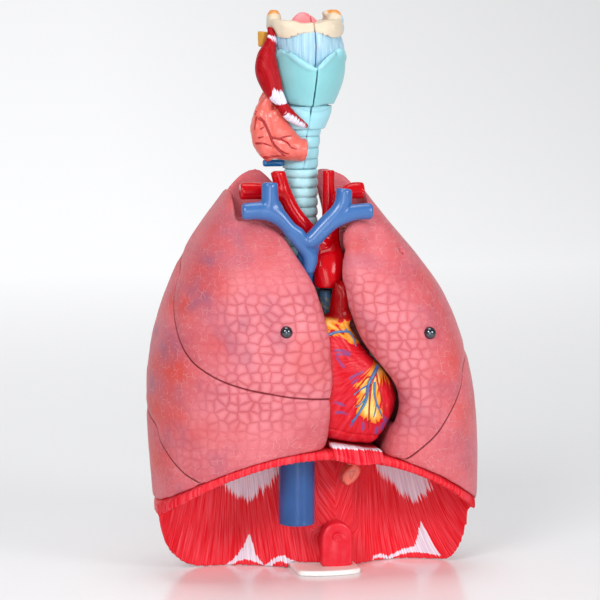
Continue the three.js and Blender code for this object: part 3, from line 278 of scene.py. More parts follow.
# Stage, in metres: lamps with place, width and power in watts, and the camera about its target
SOFTBOXES = [
    ("key_softbox", (-1.3, -2.0, 1.5), 0.8, 30),
    ("fill_softbox", (1.4, -2.0, 0.9), 0.8, 22),
    ("low_softbox", (-0.2, -2.6, 0.35), 0.9, 12),
    ("top_softbox", (0.0, -0.2, 2.4), 1.2, 17),
]
TARGET = (-0.008, 0, 0.1975)
CAMERA_AZIMUTH, CAMERA_ELEVATION, CAMERA_DISTANCE, CAMERA_LENS = -12, 7, 2.2, 184.6


# Colours: sRGB hex to linear, and settings that a user may change
def linear(code):
    """An sRGB hex colour as linear red, green, blue and alpha."""
    parts = [int(code[i : i + 2], 16) / 255 for i in (1, 3, 5)]
    return [c / 12.92 if c <= 0.04045 else ((c + 0.055) / 1.055) ** 2.4 for c in parts] + [1.0]


def paint_property(name, code, text):
    """A colour that a user may change, given as sRGB hex."""
    return FloatVectorProperty(name=name, description=text, default=linear(code), size=4, min=0, max=1, subtype="COLOR")


def length_property(name, millimetres, text):
    """A length that a user may change, given in millimetres."""
    return FloatProperty(name=name, description=text, default=millimetres * MM, min=0, precision=5, unit="LENGTH")


class ModelPaint(bpy.types.PropertyGroup):
    """Colours of the paints and plastics."""

    lung: paint_property("Lung", "#DC727A", "Ground colour of the lungs")
    lung_deep: paint_property("Lung deep", "#CB5F69", "Deeper pink in soft clouds on the lungs")
    # Painted highlight: a lighter pink on the domed middle of each lobule
    lung_highlight: paint_property("Lung light", "#F0A0A8", "Lighter pink in the middle of the lobules")
    lung_line: paint_property("Lobule lines", "#B85A66", "Thin lines between the lobules")
    # Painted highlight: the pale colour on the raised wrinkles
    lung_wrinkle_highlight: paint_property("Lung wrinkles", "#F3ADAD", "Short pale wrinkles at the sides of the lungs")
    lung_flush: paint_property("Lung flush", "#D94F47", "Red-orange patches on the lungs")
    lung_shade: paint_property("Lung shade", "#98607A", "Mauve patches on the lungs")
    # Painted highlight: the lighter red on the raised strands
    muscle: paint_property("Muscle", "#E31022", "Red of the diaphragm")
    muscle_highlight: paint_property("Muscle light", "#F25460", "Lighter strands of the diaphragm")
    tendon: paint_property("Tendon", "#F4F0FA", "Lilac white of the tendons")
    tendon_shade: paint_property("Tendon shade", "#DAD5E6", "Grey lilac between the fibres of the tendons")
    artery: paint_property("Artery", "#CC0210", "Arteries")
    vein: paint_property("Vein", "#3A6FB0", "Veins")
    cartilage: paint_property("Cartilage", "#90D2D8", "Turquoise of the larger cartilages")
    ring: paint_property("Rings", "#A3DCE8", "Pale turquoise of the windpipe's rings")
    membrane: paint_property("Membrane", "#B4D8E8", "Pale blue membrane under the hyoid")
    bone: paint_property("Bone", "#E0CFB8", "Cream of the hyoid bone")
    gland: paint_property("Gland", "#EC7066", "Coral of the thyroid gland")
    gland_vessel: paint_property("Gland vessels", "#B00E16", "Dark red vessels on the gland")
    strap: paint_property("Neck muscle", "#A2020D", "Red of the muscles on the larynx")
    heart: paint_property("Heart", "#CE101F", "Red of the heart")
    heart_fat: paint_property("Heart fat", "#EE942C", "Orange fat on the heart")
    heart_fat_light: paint_property("Heart fat light", "#F3DC84", "Yellow in the middle of the fat")
    coronary_vein: paint_property("Coronary vein", "#3F62A8", "Veins on the heart")
    coronary_artery: paint_property("Coronary artery", "#B50F18", "Arteries on the heart")
    bruise: paint_property("Fine vein", "#6A4F8C", "Purple strokes of the small veins on the heart")
    # Painted shade: the trunk's red is darkened for the shadow it stands in under the lungs
    trunk: paint_property("Heart trunk", "#8A0105", "Dark red of the trunk on top of the heart")
    gullet: paint_property("Gullet", "#EE6C5C", "Salmon of the gullet")
    fat: paint_property("Fat pad", "#DDA038", "Ochre fat beside the larynx")
    orange_fat: paint_property("Orange fat", "#E8933A", "Orange fat inside the horns of the hyoid")
    epiglottis: paint_property("Epiglottis", "#E8737C", "Pink of the epiglottis")
    azure: paint_property("Bright vein", "#1A7CC2", "Bright blue vein behind the gland")
    foot: paint_property("Foot plate", "#FFFDF9", "White of the foot plate")
    steel: paint_property("Stud", "#565A60", "Dark chromed steel of the studs")
    stage: paint_property("Backdrop", "#FAFAFB", "Floor and backdrop")


class ModelSizes(bpy.types.PropertyGroup):
    """Sizes of the surface detail."""

    lung_mesh: length_property("Lung mesh", 1.25, "Size of the faces that the lungs' surface is made of")
    diaphragm_mesh: length_property("Diaphragm mesh", 1.4, "Size of the faces of the diaphragm's surface")
    fine_mesh: length_property("Fine mesh", 0.85, "Size of the faces of the heart, the larynx and the vessels")
    lobule: length_property("Lobule", 6.8, "Width of the polygons on the lungs")
    fissure_depth: length_property("Fissure depth", 1.1, "Depth of the grooves between the lobes")
    fissure_width: length_property("Fissure width", 1.1, "Half width of the grooves between the lobes")
    strand: length_property("Strand", 1.1, "Width of the fibres in the muscles")
    bundle_height: length_property("Bundle height", 0.45, "Height of the bundles of fibres on the diaphragm")
    ridge_height: length_property("Ridge height", 1.1, "Height of the V on the shield cartilage")


# Meshes
def ease(value, low, high):
    """0 below low, 1 above high and a smooth rise between them, or a fall where low is above high."""
    t = np.clip((value - low) / (high - low), 0, 1)
    return t * t * (3 - 2 * t)


def add_object(name, data):
    """A new object in the scene."""
    made = bpy.data.objects.new(name, data)
    bpy.context.scene.collection.objects.link(made)
    return made


def new_piece(name, mesh, material, body):
    """A finished piece of the object that rides on a body."""
    piece = add_object(name, mesh)
    mesh.materials.clear()
    mesh.materials.append(material)
    mesh.shade_smooth()
    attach(piece, body)
    return piece


def applied(mesh, *modifiers):
    """The mesh after modifiers, each given as its kind and its settings."""
    holder = add_object("holder", mesh)
    for kind, settings in modifiers:
        modifier = holder.modifiers.new(kind.lower(), kind)
        for key, value in settings.items():
            setattr(modifier, key, value)
    graph = bpy.context.evaluated_depsgraph_get()
    result = bpy.data.meshes.new_from_object(holder.evaluated_get(graph))
    bpy.data.objects.remove(holder)
    bpy.data.meshes.remove(mesh)
    return result


def mesh_of(bm, name):
    """A bmesh as a new mesh."""
    mesh = bpy.data.meshes.new(name)
    bm.to_mesh(mesh)
    bm.free()
    return mesh


def rounded(bm, verts):
    """One round of smoothing."""
    bmesh.ops.smooth_vert(bm, verts=verts, factor=0.5, use_axis_x=True, use_axis_y=True, use_axis_z=True)


def set_places(mesh, at):
    """Moves the points of a mesh to places in millimetres."""
    mesh.vertices.foreach_set("co", (at * MM).astype(np.float32).ravel())


def skin(node, grain, kept_angle, rounds):
    """The surface of a solid, meshed evenly at a grain in millimetres and smoothed for some rounds. Edges sharper than
    kept_angle, in degrees, stay."""
    bm = bmesh.new()
    bm.from_mesh(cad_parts[node].data)
    bmesh.ops.remove_doubles(bm, verts=bm.verts, dist=1e-6)
    bmesh.ops.join_triangles(bm, faces=bm.faces, angle_face_threshold=math.radians(30),
        angle_shape_threshold=math.radians(60))
    crease = bm.edges.layers.float.new("crease_edge")
    for edge in bm.edges:
        if len(edge.link_faces) == 2 and edge.calc_face_angle(0) > math.radians(kept_angle):
            edge[crease] = 1.0
    for centre, half, turn_y, turn_z in FILLED.get(node, ()):
        turn = Matrix.Rotation(math.radians(turn_z), 4, "Z") @ Matrix.Rotation(math.radians(turn_y), 4, "Y")
        stretch = Matrix.Diagonal((*[h * MM for h in half], 1))
        placed = Matrix.Translation(Vector(centre) * MM) @ turn @ stretch
        bmesh.ops.create_icosphere(bm, subdivisions=3, radius=1, matrix=placed)
    for x, y, z, radius in smooth_line(BELLIES[node], BELLY_STEP) if node in BELLIES else ():
        placed = Matrix.Translation(Vector((x, y, z)) * MM)
        bmesh.ops.create_icosphere(bm, subdivisions=2, radius=radius * MM, matrix=placed)
    mesh = applied(mesh_of(bm, node), ("SUBSURF", {"levels": 2, "render_levels": 2}),
        ("REMESH", {"mode": "VOXEL", "voxel_size": grain * MM}))
    bm = bmesh.new()
    bm.from_mesh(mesh)
    for _ in range(rounds):
        rounded(bm, bm.verts)
    bm.to_mesh(mesh)
    bm.free()
    at, _ = places(mesh)
    for centre, reach, pull in DRAWN.get(node, ()):
        near = np.exp(-np.sum(((at - np.array(centre)) / np.array(reach)) ** 2, axis=1))
        at = at + near[:, None] * np.array(pull)
    at[:, 2] = np.clip(at[:, 2], LOWEST_Z, HIGHEST_Z)
    set_places(mesh, at)
    mesh.update()
    return mesh


def refine(mesh, near, cuts):
    """Splits the faces where near is true into smaller ones, and eases the new points onto the rounded surface."""
    bm = bmesh.new()
    bm.from_mesh(mesh)
    bm.verts.index_update()
    edges = [e for e in bm.edges if near[e.verts[0].index] and near[e.verts[1].index]]
    made = bmesh.ops.subdivide_edges(bm, edges=edges, cuts=cuts, use_grid_fill=True)
    fresh = [v for v in made["geom_inner"] if isinstance(v, bmesh.types.BMVert)]
    rounded(bm, fresh)
    bm.to_mesh(mesh)
    bm.free()


def places(mesh):
    """Where the points of a mesh are and the way each faces: two arrays, the first in millimetres."""
    count = len(mesh.vertices)
    at = np.empty(count * 3, np.float32)
    mesh.vertices.foreach_get("co", at)
    facing = np.empty(count * 3, np.float32)
    mesh.vertex_normals.foreach_get("vector", facing)
    return at.reshape(-1, 3).astype(float) / MM, facing.reshape(-1, 3).astype(float)


def raise_surface(mesh, height):
    """Moves each point of a mesh outwards by a height in millimetres."""
    at, facing = places(mesh)
    set_places(mesh, at + facing * height[:, None])
    mesh.update()


def write_value(mesh, name, values):
    """Keeps one number for each point of a mesh, for its material."""
    mesh.attributes.new(name, "FLOAT", "POINT").data.foreach_set("value", values.astype(np.float32))


def write_plane(mesh, name, across, along):
    """Keeps two coordinates of each point on an unrolled surface or along fibres, in millimetres, for its material."""
    rows = np.stack([across, along, np.zeros(len(across))], 1).astype(np.float32)
    mesh.attributes.new(name, "FLOAT_VECTOR", "POINT").data.foreach_set("vector", rows.ravel())


def surface_tree(mesh):
    """A search tree of a mesh."""
    return BVHTree.FromPolygons([v.co for v in mesh.vertices], [tuple(p.vertices) for p in mesh.polygons])


def smooth_line(points, step):
    """Points on a smooth curve through the given ones, about step apart."""
    points = [Vector(p) for p in points]
    ends = [points[0] * 2 - points[1], *points, points[-1] * 2 - points[-2]]
    line = []
    for a, b, c, d in zip(ends, ends[1:], ends[2:], ends[3:]):
        count = max(int((c - b).length / step), 1)
        bow, twist = 2 * a - 5 * b + 4 * c - d, 3 * b - a - 3 * c + d
        for i in range(count):
            t = i / count
            line.append(0.5 * (2 * b + (c - a) * t + bow * t**2 + twist * t**3))
    return [*line, points[-1]]


def laid_line(tree, points, step=1.5):
    """A smooth line through points in millimetres, laid on a surface: places and the ways the surface faces there."""
    line, ups = [], []
    for point in smooth_line(points, step):
        spot, up, _, _ = tree.find_nearest(point * MM)
        line.append(spot / MM)
        ups.append(up)
    return line, ups


def on_front(tree, points):
    """Points given as X and Z, cast from the front onto a surface, in millimetres."""
    hits = [tree.ray_cast(Vector((x, FRONT_Y, z)) * MM, Vector((0, 1, 0)))[0] for x, z in points]
    return [tuple(hit / MM) for hit in hits if hit is not None]


def line_distance(at, *lines):
    """Distance of each place from the nearest of some lines in space, in millimetres."""
    best = np.full(len(at), np.inf)
    for line in lines:
        for a, b in zip(line, line[1:]):
            a, b = np.array(a), np.array(b)
            run = b - a
            t = np.clip((at - a) @ run / max(run @ run, 1e-9), 0, 1)
            best = np.minimum(best, np.linalg.norm(at - a - t[:, None] * run, axis=1))
    return best


def front_distance(at, *lines):
    """Distance from the nearest of some lines given as X and Z, as seen from the front."""
    return line_distance(at * np.array([1, 0, 1]), *[[(x, 0, z) for x, z in line] for line in lines])


def inside_depth(at, *outlines):
    """How deep each place lies inside any of some outlines of X and Z, in millimetres, and negative outside them."""
    x, z = at[:, 0], at[:, 2]
    best = np.full(len(at), -np.inf)
    for outline in outlines:
        inside = np.zeros(len(at), bool)
        for (x0, z0), (x1, z1) in zip(outline, outline[1:] + outline[:1]):
            if z1 != z0:
                inside ^= ((z0 > z) != (z1 > z)) & (x < (x1 - x0) * (z - z0) / (z1 - z0) + x0)
        depth = front_distance(at, outline + outline[:1])
        best = np.maximum(best, np.where(inside, depth, -depth))
    return best


def rough(at, size, seed=0.0):
    """Smooth noise from -1 to 1 with features of a size in millimetres."""
    shift = Vector((seed, seed, seed))
    return np.array([noise.noise(Vector(p) / size + shift) for p in at])


def spots(at, patches):
    """Soft round patches on the front, each with X, Z, a radius and a strength."""
    total = np.zeros(len(at))
    for x, z, radius, strength in patches:
        total += strength * np.exp(-((at[:, 0] - x) ** 2 + (at[:, 2] - z) ** 2) / radius**2)
    return np.clip(total, 0, 1)


def vessel_mesh(name, tree, lines, sunk=0.35):
    """Round vessels laid on the front of a surface and sunk into it, thinner towards their ends."""
    curve = bpy.data.curves.new(name, "CURVE")
    curve.dimensions = "3D"
    curve.bevel_depth = MM
    curve.bevel_resolution = 3
    curve.use_fill_caps = True
    for points, radius in lines:
        line, ups = laid_line(tree, on_front(tree, points), 0.8)
        spline = curve.splines.new("POLY")
        spline.points.add(len(line) - 1)
        for i, (spot, up) in enumerate(zip(line, ups)):
            thickness = radius * (1 - 0.45 * i / len(line))
            spline.points[i].co = (*((spot + up * thickness * sunk) * MM), 1)
            spline.points[i].radius = thickness
    holder = bpy.data.objects.new(name, curve)
    mesh = bpy.data.meshes.new_from_object(holder)
    bpy.data.objects.remove(holder)
    bpy.data.curves.remove(curve)
    return mesh


def turned_mesh(name, node, profile):
    """A round piece turned about Y that fills the box of a solid, from the solid's front backwards.

    The profile starts and ends on the axis, where a ring is one point, taken again for every side.
    """
    low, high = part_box(node)
    middle, radius = (low + high) / 2, (high.x - low.x) / 2
    bm = bmesh.new()
    rings = []
    for r, d in profile:
        turns = [math.tau * i / TURNED_SIDES for i in range(TURNED_SIDES if r else 1)]
        ring = [bm.verts.new((middle.x + r * radius * math.cos(turn), low.y + d * radius,
                              middle.z + r * radius * math.sin(turn))) for turn in turns]
        rings.append(ring * (TURNED_SIDES // len(ring)))
    for ring, behind in zip(rings, rings[1:]):
        for i in range(TURNED_SIDES):
            bm.faces.new(tuple(dict.fromkeys((behind[i - 1], behind[i], ring[i], ring[i - 1]))))
    return mesh_of(bm, name)


# Materials
METRE = 1000  # a pattern on Object coordinates has this over the size of its features in millimetres as its scale
MIX, UNDER, OVER = 0, 6, 7  # sockets of a Mix node of colours: the share, the colour below and the one laid on it
VINYL_IOR = 1.5  # of vinyl, styrene and paint alike, and what the shader gives a metal too
COAT_ROUGHNESS = 0.08
# Painted shade in the grooves between the rings of the larynx and along the cricoid
CARTILAGE_GROOVE_SHADE = "#3F7F8C"
# Painted shade, dark red, along the bottom of the lungs' fissure grooves
FISSURE_SHADE = "#6E1420"


def colour(name):
    """A colour from the settings."""
    return tuple(getattr(bpy.context.scene.model_paint, name))


def size(name):
    """A length from the settings, in millimetres."""
    return getattr(bpy.context.scene.model_sizes, name) / MM


def main_output(node):
    """The first output of a node that is in use."""
    return next(output for output in node.outputs if output.enabled)


def add(tree, kind, inputs=None, **settings):
    """Adds a node with its settings. An input is a value, a node, for its main output, or a node and an output."""
    made = tree.nodes.new("ShaderNode" + kind)
    for key, value in settings.items():
        setattr(made, key, value)
    for key, value in (inputs or {}).items():
        if isinstance(value, bpy.types.Node):
            tree.links.new(main_output(value), made.inputs[key])
        elif isinstance(value, tuple) and isinstance(value[0], bpy.types.Node):
            tree.links.new(value[0].outputs[value[1]], made.inputs[key])
        else:
            made.inputs[key].default_value = value
    return made


def finish(name, roughness, coat=0.0, metallic=0.0, specular=0.5):
    """A new material and its node tree, with the constant values of the finish on its shader."""
    material = bpy.data.materials.new(name)
    material.use_nodes = True
    shader = material.node_tree.nodes["Principled BSDF"]
    shader.inputs["Roughness"].default_value = roughness
    shader.inputs["Metallic"].default_value = metallic
    shader.inputs["IOR"].default_value = VINYL_IOR
    shader.inputs["Specular IOR Level"].default_value = specular
    shader.inputs["Coat Weight"].default_value = coat
    shader.inputs["Coat Roughness"].default_value = COAT_ROUGHNESS
    return material, material.node_tree


def joined(material, paint, relief):
    """The material with its colour and its relief joined to the shader."""
    tree = material.node_tree
    shader = tree.nodes["Principled BSDF"]
    tree.links.new(main_output(paint), shader.inputs["Base Color"])
    tree.links.new(main_output(relief), shader.inputs["Normal"])
    return material


def painted_vinyl(name, ground, second, roughness, patch=9.0, strength=0.5, coat=0.0, grain=0.08, specular=0.5):
    """Moulded vinyl under brushed paint: two close tints in soft patches, painted shade where a groove or hollow is
    marked in the line attribute, and a fine uneven film."""
    material, tree = finish(name, roughness, coat=coat, specular=specular)
    place = add(tree, "TexCoord")
    cloud = add(tree, "TexNoise", {"Vector": (place, "Object"), "Scale": METRE / patch, "Detail": 5.0})
    amount = add(tree, "MapRange", {"Value": cloud, "From Min": 0.35, "From Max": 0.7, "To Max": strength})
    tint = add(tree, "Mix", {MIX: amount, UNDER: ground, OVER: second}, data_type="RGBA")
    # Painted shade: where the line attribute marks a groove or a hollow, the paint is darkened to a shadow colour
    line = add(tree, "Attribute", attribute_name="line")
    dark = add(tree, "Math", {0: (line, "Fac"), 1: 0.75}, operation="MULTIPLY")
    shadow = [c * 0.22 for c in second[:3]] + [1.0]
    drawn = add(tree, "Mix", {MIX: dark, UNDER: tint, OVER: shadow}, data_type="RGBA")
    film = add(tree, "TexNoise", {"Vector": (place, "Object"), "Scale": METRE / 1.3, "Detail": 3.0})
    relief = add(tree, "Bump", {"Height": film, "Strength": 0.6, "Distance": grain * MM})
    return joined(material, drawn, relief)


def lung_vinyl():
    """Satin painted vinyl of the lungs: domed polygons between thin grooves, which fade into short pale wrinkles.
    The domes and the wrinkles carry painted highlights, and the fissures painted shade.
    """
    material, tree = finish("lung_satin_painted_vinyl", 0.36, specular=0.2)
    place = add(tree, "TexCoord")
    sheet, clear, flush, shade, groove = (add(tree, "Attribute", attribute_name=key)
        for key in ("sheet", "cells", "flush", "shade", "fissure"))

    # Both patterns lie on the unrolled surface, bent a little so that no line runs straight
    bend = add(tree, "TexNoise", {"Vector": (place, "Object"), "Scale": METRE / 7, "Detail": 2.0})
    shift = add(tree, "VectorMath", {0: (bend, "Color"), 1: (2.2, 2.2, 0.0)}, operation="MULTIPLY")
    bent = add(tree, "VectorMath", {0: (sheet, "Vector"), 1: shift}, operation="ADD")
    cells, creases = (add(tree, "TexVoronoi", {"Vector": bent, "Scale": 1 / width, "Randomness": uneven},
        feature="DISTANCE_TO_EDGE", voronoi_dimensions="2D") for width, uneven in ((size("lobule"), 0.62), (4.6, 1.0)))

    # Polygons: how much of the line is drawn, and how far the middle is domed and lit with a painted highlight, where
    # the polygons are clear
    thin = add(tree, "MapRange", {"Value": cells, "From Min": 0.05, "From Max": 0.012})
    drawn = add(tree, "Math", {0: thin, 1: (clear, "Fac")}, operation="MULTIPLY")
    dome = add(tree, "MapRange", {"Value": cells, "From Min": 0.02, "From Max": 0.34, "To Max": 0.45})
    lit = add(tree, "Math", {0: dome, 1: (clear, "Fac")}, operation="MULTIPLY")

    # Wrinkles: broken pieces of the creases, where the polygons are unclear
    gaps = add(tree, "TexNoise", {"Vector": bent, "Scale": 1 / 5.0, "Detail": 1.0}, noise_dimensions="2D")
    broken = add(tree, "MapRange", {"Value": gaps, "From Min": 0.46, "From Max": 0.6})
    fold = add(tree, "MapRange", {"Value": creases, "From Min": 0.085, "From Max": 0.02})
    short = add(tree, "Math", {0: fold, 1: broken}, operation="MULTIPLY")
    unclear = add(tree, "MapRange", {"Value": (clear, "Fac"), "From Max": 0.7, "To Min": 1.0, "To Max": 0.0})
    wrinkle = add(tree, "Math", {0: short, 1: unclear}, operation="MULTIPLY")

    # Paint, from the ground up: painted highlights on the domes and the wrinkles, and painted shade along the fissures
    cloud = add(tree, "TexNoise", {"Vector": (place, "Object"), "Scale": METRE / 30, "Detail": 4.0})
    tone = add(tree, "MapRange", {"Value": cloud, "From Min": 0.36, "From Max": 0.64})
    soft = add(tree, "Math", {0: drawn, 1: 0.5}, operation="MULTIPLY")
    # Painted highlight: the raised wrinkles are painted pale
    pale = add(tree, "Math", {0: wrinkle, 1: 0.5}, operation="MULTIPLY")
    # Painted shade: the fissure grooves are darkened along their bottom
    dark = add(tree, "MapRange", {"Value": (groove, "Fac"), "From Min": 0.8, "From Max": 0.3, "To Max": 0.92})
    paint = colour("lung_deep")
    for mask, tint in (
        (tone, colour("lung")),
        (lit, colour("lung_highlight")),
        ((flush, "Fac"), colour("lung_flush")),
        ((shade, "Fac"), colour("lung_shade")),
        (soft, colour("lung_line")),
        (pale, colour("lung_wrinkle_highlight")),
        (dark, linear(FISSURE_SHADE)),
    ):
        paint = add(tree, "Mix", {MIX: mask, UNDER: paint, OVER: tint}, data_type="RGBA")

    # Relief: domes, sunk lines and raised wrinkles under the film of the paint
    sunk = add(tree, "Math", {0: drawn, 1: -0.5}, operation="MULTIPLY")
    domed = add(tree, "Math", {0: lit, 1: sunk}, operation="ADD")
    height = add(tree, "Math", {0: wrinkle, 1: domed}, operation="ADD")
    relief = add(tree, "Bump", {"Height": height, "Strength": 0.8, "Distance": 0.36 * MM})
    film = add(tree, "TexNoise", {"Vector": (place, "Object"), "Scale": METRE / 1.6, "Detail": 2.0})
    grain = add(tree, "Bump", {"Height": film, "Strength": 0.5, "Distance": 0.1 * MM, "Normal": relief})
    return joined(material, paint, grain)


def fibre_vinyl(name, ground, light, white, strand=None):
    """Painted vinyl cast from carved muscle: fine strands that follow the piece, with tendon where the mask says.
    The raised strands carry a painted highlight, and the tendon painted shade between its fibres.
    """
    material, tree = finish(name, 0.34, specular=0.14)
    fibre, tendon = (add(tree, "Attribute", attribute_name=key) for key in ("fibre", "tendon"))
    width = strand or size("strand")
    stretched = add(tree, "Mapping", {"Vector": (fibre, "Vector"), "Scale": (1 / width, 0.03, 1.0)})
    fine = add(tree, "TexNoise", {"Vector": stretched, "Scale": 1.0, "Detail": 2.5, "Roughness": 0.6})
    strands = add(tree, "MapRange", {"Value": fine, "From Min": 0.4, "From Max": 0.7})
    # Painted highlight: the raised strands are painted lighter
    red = add(tree, "Mix", {MIX: strands, UNDER: ground, OVER: light}, data_type="RGBA")
    frayed = add(tree, "Math", {0: fine, 1: 8.0, 2: (tendon, "Fac")}, operation="MULTIPLY_ADD")
    mask = add(tree, "MapRange", {"Value": frayed, "From Min": 3.9, "From Max": 4.6})
    # Painted shade: the tendon is painted grey lilac between its raised fibres
    grey = add(tree, "MapRange", {"Value": fine, "From Min": 0.42, "From Max": 0.6})
    sinew = add(tree, "Mix", {MIX: grey, UNDER: colour("tendon_shade"), OVER: white}, data_type="RGBA")
    final = add(tree, "Mix", {MIX: mask, UNDER: red, OVER: sinew}, data_type="RGBA")
    relief = add(tree, "Bump", {"Height": fine, "Strength": 0.9, "Distance": 0.5 * MM})
    return joined(material, final, relief)


def heart_vinyl():
    """Glossy painted vinyl of the heart: red flesh in brushed strokes, orange and yellow fat, purple small veins, and a
    trunk whose red is darkened as painted shade.
    """
    material, tree = finish("heart_glossy_painted_vinyl", 0.24, specular=0.16)
    fibre, violet, fat, face, root, trunk = (add(tree, "Attribute", attribute_name=key)
        for key in ("fibre", "violet", "fat", "inner", "root", "trunk"))
    stretched = add(tree, "Mapping", {"Vector": (fibre, "Vector"), "Scale": (0.7, 0.1, 1.0)})
    stroke = add(tree, "TexNoise", {"Vector": stretched, "Scale": 1.0, "Detail": 3.0})
    strokes = add(tree, "MapRange", {"Value": stroke, "From Min": 0.4, "From Max": 0.68, "To Max": 0.7})
    worn = add(tree, "MapRange", {"Value": stroke, "From Min": 0.3, "From Max": 0.5, "To Min": 0.35, "To Max": 0.9})
    faint = add(tree, "Math", {0: (violet, "Fac"), 1: worn}, operation="MULTIPLY")
    frayed = add(tree, "Math", {0: stroke, 1: 15.0, 2: (fat, "Fac")}, operation="MULTIPLY_ADD")
    edge = add(tree, "MapRange", {"Value": frayed, "From Min": 7.2, "From Max": 8.0})
    core = add(tree, "MapRange", {"Value": frayed, "From Min": 9.0, "From Max": 13.0})
    yellow = add(tree, "Mix", {MIX: core, UNDER: colour("heart_fat"), OVER: colour("heart_fat_light")},
        data_type="RGBA")
    streak = add(tree, "MapRange", {"Value": stroke, "From Min": 0.5, "From Max": 0.66})
    steel = add(tree, "Mix", {MIX: streak, UNDER: linear("#4A6C8C"), OVER: linear("#B59A66")}, data_type="RGBA")
    paint = colour("heart")
    for mask, tint in (
        (strokes, linear("#E03848")),
        (faint, colour("bruise")),
        (edge, yellow),
        ((face, "Fac"), linear("#D9525A")),
        ((root, "Fac"), steel),
        ((trunk, "Fac"), colour("trunk")),
    ):
        paint = add(tree, "Mix", {MIX: mask, UNDER: paint, OVER: tint}, data_type="RGBA")
    relief = add(tree, "Bump", {"Height": stroke, "Strength": 0.6, "Distance": 0.45 * MM})
    return joined(material, paint, relief)


def airway_vinyl():
    """Satin vinyl of the larynx wall: turquoise rings below, pale membrane with upright folds above, pink inside,
    and painted shade in the grooves between the rings.
    """
    material, tree = finish("larynx_wall_satin_vinyl", 0.34, coat=0.15)
    place = add(tree, "TexCoord")
    line, inner = (add(tree, "Attribute", attribute_name=key) for key in ("line", "inner"))
    parts = add(tree, "SeparateXYZ", {"Vector": (place, "Object")})
    above = add(tree, "MapRange", {"Value": (parts, "Z"), "From Min": 0.330, "From Max": 0.350})
    fold = add(tree, "Mapping", {"Vector": (place, "Object"), "Scale": (METRE / 1.5, METRE / 1.5, 10.0)})
    folds = add(tree, "TexNoise", {"Vector": fold, "Scale": 1.0, "Detail": 2.0})
    pale = add(tree, "MapRange", {"Value": folds, "From Min": 0.4, "From Max": 0.62})
    sheet = add(tree, "Mix", {MIX: pale, UNDER: linear("#9AC4DC"), OVER: colour("membrane")}, data_type="RGBA")
    wall = add(tree, "Mix", {MIX: above, UNDER: colour("ring"), OVER: sheet}, data_type="RGBA")
    # Painted shade along the grooves between the rings
    dark = add(tree, "Math", {0: (line, "Fac"), 1: 0.7}, operation="MULTIPLY")
    grooved = add(tree, "Mix", {MIX: dark, UNDER: wall, OVER: linear(CARTILAGE_GROOVE_SHADE)}, data_type="RGBA")
    final = add(tree, "Mix", {MIX: (inner, "Fac"), UNDER: grooved, OVER: colour("epiglottis")}, data_type="RGBA")
    depth = add(tree, "Math", {0: folds, 1: above}, operation="MULTIPLY")
    relief = add(tree, "Bump", {"Height": depth, "Strength": 0.8, "Distance": 0.5 * MM})
    return joined(material, final, relief)


def cartilage_vinyl():
    """Satin vinyl of the large cartilages: turquoise, with a pale painted highlight along the raised V of the shield,
    the cricoid in its own paler turquoise, and painted shade in the cricoid's groove.
    """
    material, tree = finish("cartilage_satin_vinyl", 0.36, coat=0.15)
    place = add(tree, "TexCoord")
    ridge, line = (add(tree, "Attribute", attribute_name=key) for key in ("ridge", "line"))
    cloud = add(tree, "TexNoise", {"Vector": (place, "Object"), "Scale": METRE / 16, "Detail": 4.0})
    tone = add(tree, "MapRange", {"Value": cloud, "From Min": 0.35, "From Max": 0.7, "To Max": 0.45})
    dark = add(tree, "Math", {0: (line, "Fac"), 1: 0.7}, operation="MULTIPLY")
    paint = colour("cartilage")
    for mask, tint in ((tone, linear("#7FC7CC")), ((ridge, "Fac"), colour("ring")), (dark, linear(CARTILAGE_GROOVE_SHADE))):
        paint = add(tree, "Mix", {MIX: mask, UNDER: paint, OVER: tint}, data_type="RGBA")
    film = add(tree, "TexNoise", {"Vector": (place, "Object"), "Scale": METRE / 1.5, "Detail": 3.0})
    relief = add(tree, "Bump", {"Height": film, "Strength": 0.5, "Distance": 0.08 * MM})
    return joined(material, paint, relief)


def hyoid_vinyl():
    """Painted vinyl of the hyoid: cream bone with darker hollows, orange fat inside the horns, and pale blue
    membrane on their outer sides."""
    material, tree = finish("hyoid_satin_vinyl", 0.42)
    place = add(tree, "TexCoord")
    fat, outside = (add(tree, "Attribute", attribute_name=key) for key in ("fat", "blue"))
    cloud = add(tree, "TexNoise", {"Vector": (place, "Object"), "Scale": METRE / 9, "Detail": 4.0})
    tone = add(tree, "MapRange", {"Value": cloud, "From Min": 0.45, "From Max": 0.75, "To Max": 0.5})
    paint = colour("bone")
    for mask, tint in (
        (tone, linear("#E6CDA9")),
        ((fat, "Fac"), colour("orange_fat")),
        ((outside, "Fac"), colour("membrane")),
    ):
        paint = add(tree, "Mix", {MIX: mask, UNDER: paint, OVER: tint}, data_type="RGBA")
    relief = add(tree, "Bump", {"Height": cloud, "Strength": 0.5, "Distance": 0.3 * MM})
    return joined(material, paint, relief)


def dark_chrome():
    """Black chromed steel of the studs: mirror bright, with the faint orange peel of plating."""
    material, tree = finish("stud_black_chrome", 0.15, metallic=1.0)
    place = add(tree, "TexCoord")
    peel = add(tree, "TexNoise", {"Vector": (place, "Object"), "Scale": METRE / 0.7, "Detail": 2.0})
    tone = add(tree, "Mix", {MIX: peel, UNDER: colour("steel"), OVER: linear("#5E636A")}, data_type="RGBA")
    relief = add(tree, "Bump", {"Height": peel, "Strength": 0.3, "Distance": 0.02 * MM})
    return joined(material, tone, relief)


